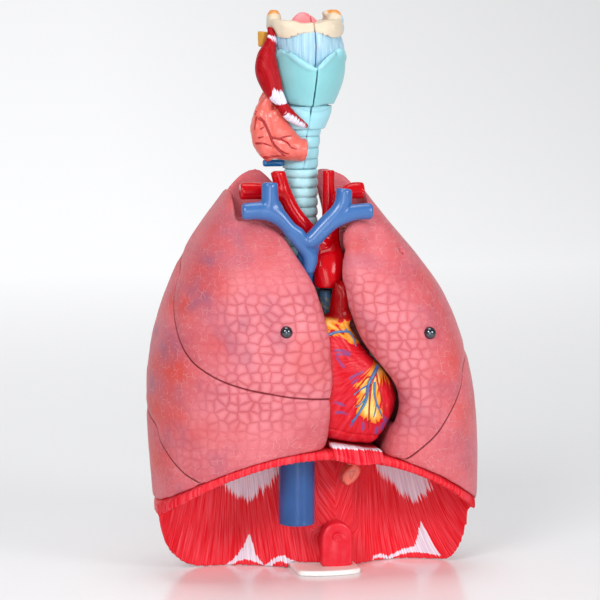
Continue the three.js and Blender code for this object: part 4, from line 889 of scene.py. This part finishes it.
def backdrop_card():
    """Plain white card of the floor and backdrop: satin enough for a faint reflection, lit white towards the back."""
    material, tree = finish("backdrop_satin_card", 0.22)
    shader = tree.nodes["Principled BSDF"]
    shader.inputs["Base Color"].default_value = colour("stage")
    place = add(tree, "TexCoord")
    parts = add(tree, "SeparateXYZ", {"Vector": (place, "Object")})
    far = add(tree, "MapRange", {"Value": (parts, "Y"), "From Min": 0.3, "From Max": 1.9})
    ray = add(tree, "LightPath")
    mirrored = add(tree, "Math", {0: (ray, "Is Camera Ray"), 1: (ray, "Is Glossy Ray")}, operation="MAXIMUM")
    seen = add(tree, "Math", {0: mirrored, 1: (ray, "Is Transmission Ray")}, operation="MAXIMUM")
    share = add(tree, "Math", {0: seen, 1: far}, operation="MULTIPLY")
    # The glow is painted light: it is dimmed towards the right and towards the top
    side, high = (add(tree, "MapRange", {"Value": (parts, axis), "From Min": near, "From Max": end, "To Min": 1.0,
        "To Max": dim}) for axis, near, end, dim in (("X", 0.25, 1.2, 0.79), ("Z", 0.02, 0.35, 0.93)))
    strength = add(tree, "Math", {0: side, 1: high}, operation="MULTIPLY")
    glow = add(tree, "Emission", {"Color": (0.985, 0.99, 1.0, 1.0), "Strength": strength})
    both = add(tree, "MixShader", {0: share, 1: shader, 2: glow})
    tree.links.new(main_output(both), tree.nodes["Material Output"].inputs["Surface"])
    return material


# Operators: one for each piece or group of like pieces
LUNG_FORMS = {
    "right_lung_front": ("right_lung_cover", [RIGHT_HORIZONTAL_FISSURE, RIGHT_OBLIQUE_FISSURE]),
    "left_lung_front": ("left_lung_cover", [LEFT_OBLIQUE_FISSURE]),
    "right_lung_back": ("stand", RIGHT_BACK_FISSURES),
    "left_lung_back": ("stand", LEFT_BACK_FISSURES),
}


class BuildLungs(bpy.types.Operator):
    """The four halves of the lungs, with their fissures and lobules"""

    bl_idname = "anatomy.build_lungs"
    bl_label = "Lungs"

    def execute(self, context):
        vinyl = lung_vinyl()
        depth, half = size("fissure_depth"), size("fissure_width")
        for node, (body, fissures) in LUNG_FORMS.items():
            mesh = skin(node, size("lung_mesh"), 50, 8)
            tree = surface_tree(mesh)
            lines = [laid_line(tree, points)[0] for points in fissures]
            refine(mesh, line_distance(places(mesh)[0], *lines) < half * 2.4, 2)
            at, _ = places(mesh)
            away = line_distance(at, *lines)
            lumps = 0.2 * rough(at, 9.0) + 0.5 * rough(at, 26.0, 5.0)
            swell = 0.6 * ease(away, half, half * 6)
            raise_surface(mesh, lumps * 0.6 + swell - 0.4 - depth * ease(away, half, 0))
            front = ease(-at[:, 1], -20, 0)
            write_value(mesh, "fissure", away)
            cells = spots(at, LUNG_CELLS) * 1.1 + 0.18 + 0.2 * rough(at, 11.0, 6.0)
            write_value(mesh, "cells", np.clip(cells, 0, 1) * front)
            flush = spots(at, LUNG_FLUSH) * front * (0.8 + 0.7 * rough(at, 12.0, 9.0))
            write_value(mesh, "flush", np.clip(flush + 0.3 * ease(rough(at, 34.0, 3.0), 0.15, 0.6), 0, 0.9))
            shade = spots(at, LUNG_SHADE) * front * (0.7 + 0.9 * rough(at, 9.0, 2.0))
            write_value(mesh, "shade", np.clip(shade + 0.25 * ease(rough(at, 22.0, 7.0), 0.2, 0.6), 0, 0.8))
            middle_x, middle_y = LUNG_MIDDLES[node.split("_")[0]]
            around = np.arctan2(at[:, 0] - middle_x, middle_y - at[:, 1]) * LUNG_RADIUS
            write_plane(mesh, "sheet", around, at[:, 2] + 0.4 * np.maximum(at[:, 2] - APEX_Z, 0))
            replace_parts(new_piece(f"{node}_skin", mesh, vinyl, body), node)
        return {"FINISHED"}


class BuildStuds(bpy.types.Operator):
    """The two domed studs that hold the lung covers"""

    bl_idname = "anatomy.build_studs"
    bl_label = "Studs"

    def execute(self, context):
        chrome = dark_chrome()
        for side in ("right", "left"):
            mesh = turned_mesh(f"{side}_stud", f"{side}_lung_stud", STUD_PROFILE)
            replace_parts(new_piece(f"{side}_stud_dome", mesh, chrome, f"{side}_lung_cover"), f"{side}_lung_stud")
        return {"FINISHED"}


class BuildHeart(bpy.types.Operator):
    """The two halves of the heart, with fat, strokes and small veins painted on"""

    bl_idname = "anatomy.build_heart"
    bl_label = "Heart"

    def execute(self, context):
        vinyl = heart_vinyl()
        for node, body in (("heart_front", "heart_cover"), ("heart_back", "heart")):
            mesh = skin(node, size("fine_mesh"), 55, 8)
            at, facing = places(mesh)
            front = ease(-facing[:, 1], 0.0, 0.3)
            band = ease(front_distance(at, HEART_RED_BAND), 2.2, 1.0)
            fat = np.maximum(inside_depth(at, HEART_TOP_FAT) - 4 * band, inside_depth(at, HEART_FAT_FAN) - 0.6)
            violet = ease(front_distance(at, *HEART_PURPLE), 1.4, 0.3)
            seam = ease(front_distance(at, HEART_SEAM), 1.0, 0.2) * front
            ridge = ease(front_distance(at, HEART_RED_RIDGE), 4.5, 0.5) * front
            side = ease(facing[:, 0], 0.1, 0.8) * np.interp(at[:, 2], SIDE_HEIGHTS, SIDE_FILLED)
            raise_surface(mesh, 0.3 * rough(at, 7.0) + 0.9 * ridge - 0.9 * seam + side
                + 0.5 * ease(fat, -0.5, 1.5) * front)

            # The flat face where the halves part and the chambers sunk into it are painted as the inside
            from_face = abs(at[:, 1] - CHAMBER_FACE_Y)
            inwards = facing[:, 1] if node == "heart_front" else -facing[:, 1]
            face = (from_face < 0.8) | ((inwards > 0.1) & (from_face < CHAMBER_DEPTH) & (at[:, 2] < CHAMBER_Z))

            # Fat stays orange at the top and turns yellow in its middle lower down
            most = 1.6 + 4.4 * ease(at[:, 2], 172, 162)
            write_value(mesh, "fat", np.where(front > 0.2, np.clip(fat, -4, most), -9))
            write_value(mesh, "violet", violet * front)
            write_value(mesh, "inner", face.astype(float))
            # Painted shade: the trunk on the front half is painted a red darkened for the shadow it stands in
            top = ease(at[:, 2], TRUNK_Z, TRUNK_Z + 4)
            write_value(mesh, "root", top if node == "heart_back" else np.zeros(len(at)))
            write_value(mesh, "trunk", top if node == "heart_front" else np.zeros(len(at)))
            x, z = at[:, 0] - FAN_ORIGIN[0], FAN_ORIGIN[1] - at[:, 2]
            write_plane(mesh, "fibre", np.arctan2(x, z) * FAN_RADIUS, np.hypot(x, z))
            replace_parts(new_piece(f"{node}_skin", mesh, vinyl, body), node)
            if node == "heart_front":
                tree = surface_tree(mesh)
                blue = painted_vinyl("coronary_vein_gloss_paint", colour("coronary_vein"), linear("#4F9AA5"), 0.25,
                    coat=0.3, patch=5)
                red = painted_vinyl("coronary_artery_gloss_paint", colour("coronary_artery"), linear("#D11A22"), 0.25,
                    coat=0.3)
                veins = vessel_mesh("coronary_veins", tree, CORONARY_VEINS)
                new_piece("coronary_veins", veins, blue, body)
                arteries = vessel_mesh("coronary_arteries", tree, CORONARY_ARTERIES)
                new_piece("coronary_arteries", arteries, red, body)
        return {"FINISHED"}


class BuildDiaphragm(bpy.types.Operator):
    """The diaphragm that the model stands on, with its bundles of fibres and white tendons"""

    bl_idname = "anatomy.build_diaphragm"
    bl_label = "Diaphragm"

    def execute(self, context):
        mesh = skin("diaphragm", size("diaphragm_mesh"), 35, 3)
        at, facing = places(mesh)
        wall = (at[:, 1] > NICHE_Y - 4) & (at[:, 1] < 40) & (at[:, 2] < NICHE_Z + 2)
        refine(mesh, wall & (facing[:, 1] < -0.3), 1)
        at, facing = places(mesh)
        x, y, z = at.T

        # Fibres: in the niche they fan out from the foot and meet in a seam above it, elsewhere they run up the rim
        slope = np.where(x < RAPHE_X, np.interp(x, *LEAN_LEFT), np.interp(x, *LEAN_RIGHT))
        fan = x + slope * z
        beside = np.abs(x - RAPHE_X)
        middle = 0.75 * ease(beside, 24, 13) * ease(z, 22, 34)
        across = fan * (1 - middle) + (beside * 1.1 - 0.62 * z) * middle
        niche = (y > NICHE_Y) & (z < NICHE_Z)
        around = np.degrees(np.arctan2(y / RIM_Y, (x - RIM_MIDDLE) / RIM_X)) * 1.45
        across = np.where(niche, across, around)
        along = np.where(niche, z, y * 0.2 + z)

        # Tendon: broad fans with frayed edges below the arch and sharper ones along the foot, none behind the boss
        fans = inside_depth(at, LEFT_FAN_TENDON, RIGHT_FAN_TENDON) * 0.45
        tendon = np.maximum(fans, inside_depth(at, *FOOT_TENDONS) * 1.6)
        facing_front = facing[:, 1] < -0.1
        tendon = np.where(niche & facing_front & (np.abs(x - BOSS_X) > BOSS_HALF), tendon, -9)

        # Relief: carved bundles in the niche, even ribs on the rim and a groove along the seam
        strands = np.stack([across, along * 0.04, along * 0], 1)
        bundles = 0.8 * rough(strands, 3.2, 2.0) + 0.7 * rough(strands, 1.5, 8.0)
        raphe = ease(np.abs(x - RAPHE_X + 0.35 * np.maximum(z - 32, 0)), 1.6, 0.2) * middle
        rim = ~niche & (z > RIM_Z)
        ribs = np.sin(around * math.tau / 2.9) * 0.4
        edge = ease(np.minimum(x - DIAPHRAGM_X[0], DIAPHRAGM_X[1] - x), 2, 8)
        carved = size("bundle_height") * bundles * 1.3 * edge - 0.2
        raise_surface(mesh, np.where(rim, ribs, carved) - 0.7 * raphe * facing_front)
        write_value(mesh, "tendon", np.clip(tendon, -9, 4))
        write_plane(mesh, "fibre", across, along)
        vinyl = fibre_vinyl("diaphragm_satin_painted_vinyl", colour("muscle"), colour("muscle_highlight"), colour("tendon"))
        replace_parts(new_piece("diaphragm_skin", mesh, vinyl, "stand"), "diaphragm")
        return {"FINISHED"}


class BuildFoot(bpy.types.Operator):
    """The white foot plate, the boss over the spine and its screw"""

    bl_idname = "anatomy.build_foot"
    bl_label = "Foot plate, boss and screw"

    def execute(self, context):
        white = painted_vinyl("foot_plate_white_styrene", colour("foot"), linear("#F8F4EC"), 0.35, patch=20)
        red = painted_vinyl("boss_gloss_painted_vinyl", linear("#E01A2E"), linear("#F03E4E"), 0.25, specular=0.3)
        for node, material, kept in (("foot_plate", white, 35), ("spine_boss", red, 50)):
            mesh = skin(node, 0.9, kept, 4)
            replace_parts(new_piece(f"{node}_skin", mesh, material, "stand"), node)
        mesh = turned_mesh("boss_screw", "boss_screw", SCREW_PROFILE)
        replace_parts(new_piece("boss_screw_head", mesh, red, "stand"), "boss_screw")
        return {"FINISHED"}


class BuildRimBlocks(bpy.types.Operator):
    """The block that the heart stands on and the red middle of the chest behind it"""

    bl_idname = "anatomy.build_rim_blocks"
    bl_label = "Heart seat and mediastinum"

    def execute(self, context):
        vinyl = fibre_vinyl("heart_seat_painted_vinyl", linear("#D90F26"), colour("muscle_highlight"), colour("tendon"),
            strand=1.6)
        for node in ("heart_seat", "mediastinum"):
            mesh = skin(node, 0.9, 35, 2)
            at, _ = places(mesh)
            tendon = np.full(len(at), -9.0)
            if node == "heart_seat":
                below = np.interp(at[:, 0], *SEAT_EDGE) - 1.7
                tendon = np.where(at[:, 1] > STRIP_Y, -9, np.clip((at[:, 2] - below) * 2, -6, 4))
            write_value(mesh, "tendon", tendon)
            write_plane(mesh, "fibre", at[:, 0], at[:, 2])
            raise_surface(mesh, 0.25 * rough(at * np.array([1, 1, 0.2]), 2.6))
            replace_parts(new_piece(f"{node}_skin", mesh, vinyl, "stand"), node)
        return {"FINISHED"}


class BuildVessels(bpy.types.Operator):
    """The trunks of the chest and neck: arteries, veins and gullet"""

    bl_idname = "anatomy.build_vessels"
    bl_label = "Arteries, veins and gullet"

    def execute(self, context):
        red = painted_vinyl("artery_gloss_painted_vinyl", colour("artery"), linear("#B80014"), 0.14, patch=14,
            specular=0.3)
        blue = painted_vinyl("vein_gloss_painted_vinyl", colour("vein"), linear("#31599A"), 0.26, patch=12,
            specular=0.65)
        dark_blue = painted_vinyl("cava_satin_painted_vinyl", linear("#2C5896"), linear("#234A84"), 0.3, patch=12,
            specular=0.4)
        salmon = painted_vinyl("gullet_satin_painted_vinyl", colour("gullet"), linear("#F59483"), 0.35, patch=5)
        azure = painted_vinyl("bright_vein_gloss_paint", colour("azure"), linear("#0F62A4"), 0.25, coat=0.3)
        for node, material, body in (
            ("arteries", red, "stand"),
            ("brachiocephalic_veins", blue, "stand"),
            ("inferior_vena_cava", dark_blue, "stand"),
            ("oesophagus", salmon, "stand"),
            ("gland_vein", azure, "larynx_right_half"),
        ):
            mesh = skin(node, size("fine_mesh"), 60, 6)
            at, facing = places(mesh)
            if node == "oesophagus":
                # Its cut end is a leaning oval, with painted shade in a triangle for its hollow
                low = at[:, 2] < 80
                above = at[:, 2] - GULLET_Z
                round_off = np.sqrt(np.clip(1 - (above / GULLET_HALF) ** 2, 0.03, 1))
                oval = GULLET_X + (at[:, 0] - GULLET_X) * round_off + above * 0.3
                at[:, 0] = np.where(low, oval, at[:, 0])
                at[:, 2] = np.where(low, np.maximum(at[:, 2], GULLET_LOW), at[:, 2])
                set_places(mesh, at)
                hollow = front_distance(at, GULLET_HOLLOW_SHADE)
                write_value(mesh, "line", 0.6 * ease(hollow, 0.9, 0.2) * (at[:, 1] < -10))
            stout = {"arteries": 0.7, "brachiocephalic_veins": 1.0}.get(node, 0)
            raise_surface(mesh, 0.12 * rough(at, 8.0) + stout * ease(-facing[:, 1], -0.3, 0.6))
            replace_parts(new_piece(f"{node}_skin", mesh, material, body), node)
        return {"FINISHED"}


class BuildWindpipe(bpy.types.Operator):
    """The windpipe with its rings and the bronchial trees"""

    bl_idname = "anatomy.build_windpipe"
    bl_label = "Windpipe and bronchi"

    def execute(self, context):
        vinyl = painted_vinyl("windpipe_satin_vinyl", linear("#B2E6EF"), linear("#C2EDF3"), 0.34, patch=10,
            specular=0.4)
        for node in ("trachea", "right_bronchi", "left_bronchi"):
            mesh = skin(node, 0.65 if node == "trachea" else 0.85, 70, 3)
            at, _ = places(mesh)
            if node == "trachea":
                phase = np.mod(at[:, 2] - TRACHEA_LINE, RING_PITCH)
                away = np.minimum(phase, RING_PITCH - phase) + 0.35 * rough(at, 6.0)
                groove = ease(away, 1.0, 0.15)
                raise_surface(mesh, 0.35 * ease(away, 0.5, 2.6) - 0.6 * groove)
                # Painted shade in the grooves between the rings
                write_value(mesh, "line", ease(away, 0.6, 0.1))
            else:
                raise_surface(mesh, 0.25 * np.sin(at[:, 2] * math.tau / 3.2))
            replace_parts(new_piece(f"{node}_skin", mesh, vinyl, "stand"), node)
        return {"FINISHED"}


class BuildLarynxWalls(bpy.types.Operator):
    """The two halves of the larynx wall, with rings below and the membrane above"""

    bl_idname = "anatomy.build_larynx_walls"
    bl_label = "Larynx walls"

    def execute(self, context):
        vinyl = airway_vinyl()
        for side in ("right", "left"):
            mesh = skin(f"{side}_larynx_wall", 0.7, 50, 3)
            at, facing = places(mesh)
            # Which way is outwards from the airway tells the pink inside from the rings and the folds outside
            axis = np.interp(at[:, 2], LARYNX_HEIGHTS, LARYNX_MIDDLES)
            outward = (at[:, 0] - axis) * facing[:, 0] + (at[:, 1] + 1) * facing[:, 1]
            outside = ease(outward, 0.0, 2.0)
            write_value(mesh, "inner", (1 - outside) * ease(at[:, 2], INSIDE_Z, INSIDE_Z + 4))
            folds = rough(at * np.array([1, 1, 0.06]), 2.6, 4.0) * ease(at[:, 2], FOLDS_Z, FOLDS_Z + 6)
            low = ease(at[:, 2], RINGS_Z + 4, RINGS_Z)
            away = np.min([np.abs(at[:, 2] - z) for z in WALL_LINES], axis=0)
            bulge = np.sqrt(np.clip(1 - (1 - away / RING_HALF) ** 2, 0, 1)) * low * outside
            raise_surface(mesh, 0.35 * folds + 1.1 * bulge - 0.5 * low * outside)
            # Painted shade along the grooves between the rings
            write_value(mesh, "line", ease(away, 0.7, 0.1) * low * outside)
            piece = new_piece(f"{side}_larynx_wall_skin", mesh, vinyl, f"larynx_{side}_half")
            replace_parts(piece, f"{side}_larynx_wall")
        return {"FINISHED"}


class BuildCartilages(bpy.types.Operator):
    """The shield and ring cartilages of the larynx"""

    bl_idname = "anatomy.build_cartilages"
    bl_label = "Cartilages"

    def execute(self, context):
        vinyl = cartilage_vinyl()
        for side in ("right", "left"):
            for part in ("thyroid_cartilage", "cricoid"):
                node = f"{side}_{part}"
                mesh = skin(node, 0.75, 50, 4)
                at, _ = places(mesh)
                if part == "thyroid_cartilage":
                    away = line_distance(at, smooth_line(SHIELD_RIDGE, 2))
                    ridge = ease(away, 3.4, 0.6)
                    raise_surface(mesh, size("ridge_height") * ridge - 0.25)
                    # Painted highlight: the raised V is painted paler along its top
                    write_value(mesh, "ridge", ridge * 0.8)
                else:
                    away = np.abs(at[:, 2] - CRICOID_LINE - 0.02 * at[:, 0] ** 2)
                    raise_surface(mesh, 0.7 * ease(away, 0.4, 5.0) - 0.3)
                    write_value(mesh, "ridge", np.full(len(at), 0.95))
                    # Painted shade along the groove round the cricoid
                    write_value(mesh, "line", 0.35 * ease(away, 0.9, 0.1))
                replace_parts(new_piece(f"{node}_skin", mesh, vinyl, f"larynx_{side}_half"), node)
        return {"FINISHED"}


class BuildHyoid(bpy.types.Operator):
    """The hyoid bone and the epiglottis, each in two halves"""

    bl_idname = "anatomy.build_hyoid"
    bl_label = "Hyoid and epiglottis"

    def execute(self, context):
        bone = hyoid_vinyl()
        pink = painted_vinyl("epiglottis_satin_painted_vinyl", colour("epiglottis"), linear("#F7A9A4"), 0.34, coat=0.2)
        for side in ("right", "left"):
            mesh = skin(f"{side}_hyoid", 0.7, 45, 5)
            at, facing = places(mesh)
            beside = np.abs(at[:, 0] - HYOID_X)
            horn = ease(at[:, 2], FAT_Z, FAT_Z + 2) * ease(beside, FAT_BESIDE, FAT_BESIDE + 2)
            write_value(mesh, "fat", horn * ease(facing[:, 2] + 0.5 * facing[:, 1], 0.0, 0.4))
            write_value(mesh, "blue", ease(beside + 0.8 * rough(at, 3.0), MEMBRANE_BESIDE, MEMBRANE_BESIDE + 2))
            raise_surface(mesh, 0.35 * rough(at, 5.0))
            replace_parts(new_piece(f"{side}_hyoid_skin", mesh, bone, f"larynx_{side}_half"), f"{side}_hyoid")
            mesh = skin(f"{side}_epiglottis", 0.6, 50, 5)
            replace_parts(new_piece(f"{side}_epiglottis_skin", mesh, pink, f"larynx_{side}_half"), f"{side}_epiglottis")
        return {"FINISHED"}


class BuildNeckMuscles(bpy.types.Operator):
    """The muscles on the right side of the larynx, with their tendons, and the fat pad"""

    bl_idname = "anatomy.build_neck_muscles"
    bl_label = "Neck muscles and fat pad"

    def execute(self, context):
        # The second red is the painted highlight on the raised strands
        vinyl = fibre_vinyl("neck_muscle_painted_vinyl", colour("strap"), linear("#BE1826"), linear("#EEEAF8"),
            strand=0.9)
        for node, lean, outlines in (
            ("larynx_muscle", 0.3, [UPPER_TENDON, MIDDLE_TENDON]),
            ("cricothyroid_muscle", -1.0, [LOWER_TENDON]),
        ):
            mesh = skin(node, 0.6, 60, 5)
            at, _ = places(mesh)
            across = at[:, 0] + lean * at[:, 2] * 0.5 + at[:, 1] * 0.8
            write_value(mesh, "tendon", np.clip(inside_depth(at, *outlines), -4, 4))
            write_plane(mesh, "fibre", across, at[:, 2])
            raise_surface(mesh, 0.4 * rough(np.stack([across, at[:, 2] * 0.06, at[:, 2] * 0], 1), 2.2))
            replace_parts(new_piece(f"{node}_skin", mesh, vinyl, "larynx_right_half"), node)
        ochre = painted_vinyl("fat_pad_painted_vinyl", colour("fat"), linear("#C98A26"), 0.38, patch=4)
        mesh = skin("larynx_fat", 0.6, 60, 5)
        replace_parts(new_piece("larynx_fat_skin", mesh, ochre, "larynx_right_half"), "larynx_fat")
        return {"FINISHED"}


class BuildGland(bpy.types.Operator):
    """The thyroid gland with its lobules and branching vessels"""

    bl_idname = "anatomy.build_gland"
    bl_label = "Thyroid gland"

    def execute(self, context):
        coral = painted_vinyl("gland_satin_painted_vinyl", colour("gland"), linear("#E9604F"), 0.34, patch=4.5,
            strength=0.7, coat=0.2, grain=0.2)
        mesh = skin("thyroid_gland", 0.6, 60, 8)
        at, _ = places(mesh)
        raise_surface(mesh, 0.7 * rough(at, 6.5) + 0.3 * rough(at, 3.0, 4.0))
        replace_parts(new_piece("thyroid_gland_skin", mesh, coral, "larynx_right_half"), "thyroid_gland")
        red = painted_vinyl("gland_vessel_gloss_paint", colour("gland_vessel"), linear("#8E1016"), 0.28, coat=0.3)
        lines = [(points, radius * 1.35) for points, radius in GLAND_VESSELS]
        vessels = vessel_mesh("gland_vessels", surface_tree(mesh), lines, 0.2)
        new_piece("gland_vessels", vessels, red, "larynx_right_half")
        return {"FINISHED"}


class BuildStage(bpy.types.Operator):
    """The floor that rises to a backdrop, the soft lamps and the camera"""

    bl_idname = "anatomy.build_stage"
    bl_label = "Stage, lamps and camera"

    def execute(self, context):
        bm = bmesh.new()
        bends = np.linspace(0, math.pi / 2, 13)
        arc = [(-4, 2.2 + math.sin(angle), 1.0 - math.cos(angle)) for angle in bends]
        corners = [bm.verts.new(place) for place in [(-4, -3.5, 0), *arc, (-4, 3.2, 4)]]
        edges = [bm.edges.new(pair) for pair in zip(corners, corners[1:])]
        swept = bmesh.ops.extrude_edge_only(bm, edges=edges)["geom"]
        bmesh.ops.translate(bm, verts=[v for v in swept if isinstance(v, bmesh.types.BMVert)], vec=(8, 0, 0))
        bmesh.ops.recalc_face_normals(bm, faces=bm.faces)
        mesh = mesh_of(bm, "backdrop")
        mesh.shade_smooth()
        mesh.materials.append(backdrop_card())
        add_object("backdrop", mesh)
        target = Vector(TARGET)
        for name, place, width, power in SOFTBOXES:
            lamp = bpy.data.lights.new(name, "AREA")
            lamp.shape = "SQUARE"
            lamp.size = width
            lamp.energy = power
            holder = add_object(name, lamp)
            holder.location = place
            holder.rotation_euler = (Vector(place) - target).to_track_quat("Z", "Y").to_euler()
        world = bpy.data.worlds.new("studio")
        world.use_nodes = True
        ambient = world.node_tree.nodes["Background"]
        ambient.inputs["Color"].default_value = (0.95, 0.97, 1.0, 1)
        ambient.inputs["Strength"].default_value = 0.30
        context.scene.world = world
        camera = bpy.data.cameras.new("camera")
        camera.sensor_width = 36
        camera.lens = CAMERA_LENS
        camera.clip_end = 50
        holder = add_object("camera", camera)
        azimuth, elevation = math.radians(CAMERA_AZIMUTH), math.radians(CAMERA_ELEVATION)
        level = math.cos(elevation)
        back = Vector((math.sin(azimuth) * level, -math.cos(azimuth) * level, math.sin(elevation)))
        holder.location = target + back * CAMERA_DISTANCE
        holder.rotation_euler = back.to_track_quat("Z", "Y").to_euler()
        context.scene.camera = holder
        context.scene.view_settings.view_transform = "Standard"
        return {"FINISHED"}


BUILDERS = (
    BuildLungs,
    BuildStuds,
    BuildHeart,
    BuildDiaphragm,
    BuildFoot,
    BuildRimBlocks,
    BuildVessels,
    BuildWindpipe,
    BuildLarynxWalls,
    BuildCartilages,
    BuildHyoid,
    BuildNeckMuscles,
    BuildGland,
    BuildStage,
)


class AnatomyPanel(bpy.types.Panel):
    """Lists the pieces of the model, its paints and its sizes"""

    bl_idname = "VIEW3D_PT_anatomy_model"
    bl_label = "Larynx, heart and lungs"
    bl_space_type = "VIEW_3D"
    bl_region_type = "UI"
    bl_category = "Anatomy model"

    def draw(self, context):
        for builder in BUILDERS:
            self.layout.operator(builder.bl_idname)
        for group in (context.scene.model_sizes, context.scene.model_paint):
            for key in group.__annotations__:
                self.layout.prop(group, key)


CLASSES = (ModelPaint, ModelSizes, *BUILDERS, AnatomyPanel)


def register():
    for cls in CLASSES:
        bpy.utils.register_class(cls)
    bpy.types.Scene.model_paint = PointerProperty(type=ModelPaint)
    bpy.types.Scene.model_sizes = PointerProperty(type=ModelSizes)


def unregister():
    del bpy.types.Scene.model_sizes
    del bpy.types.Scene.model_paint
    for cls in reversed(CLASSES):
        bpy.utils.unregister_class(cls)


def main():
    register()
    for builder in BUILDERS:
        group, name = builder.bl_idname.split(".")
        getattr(getattr(bpy.ops, group), name)()


if __name__ == "__main__":
    main()
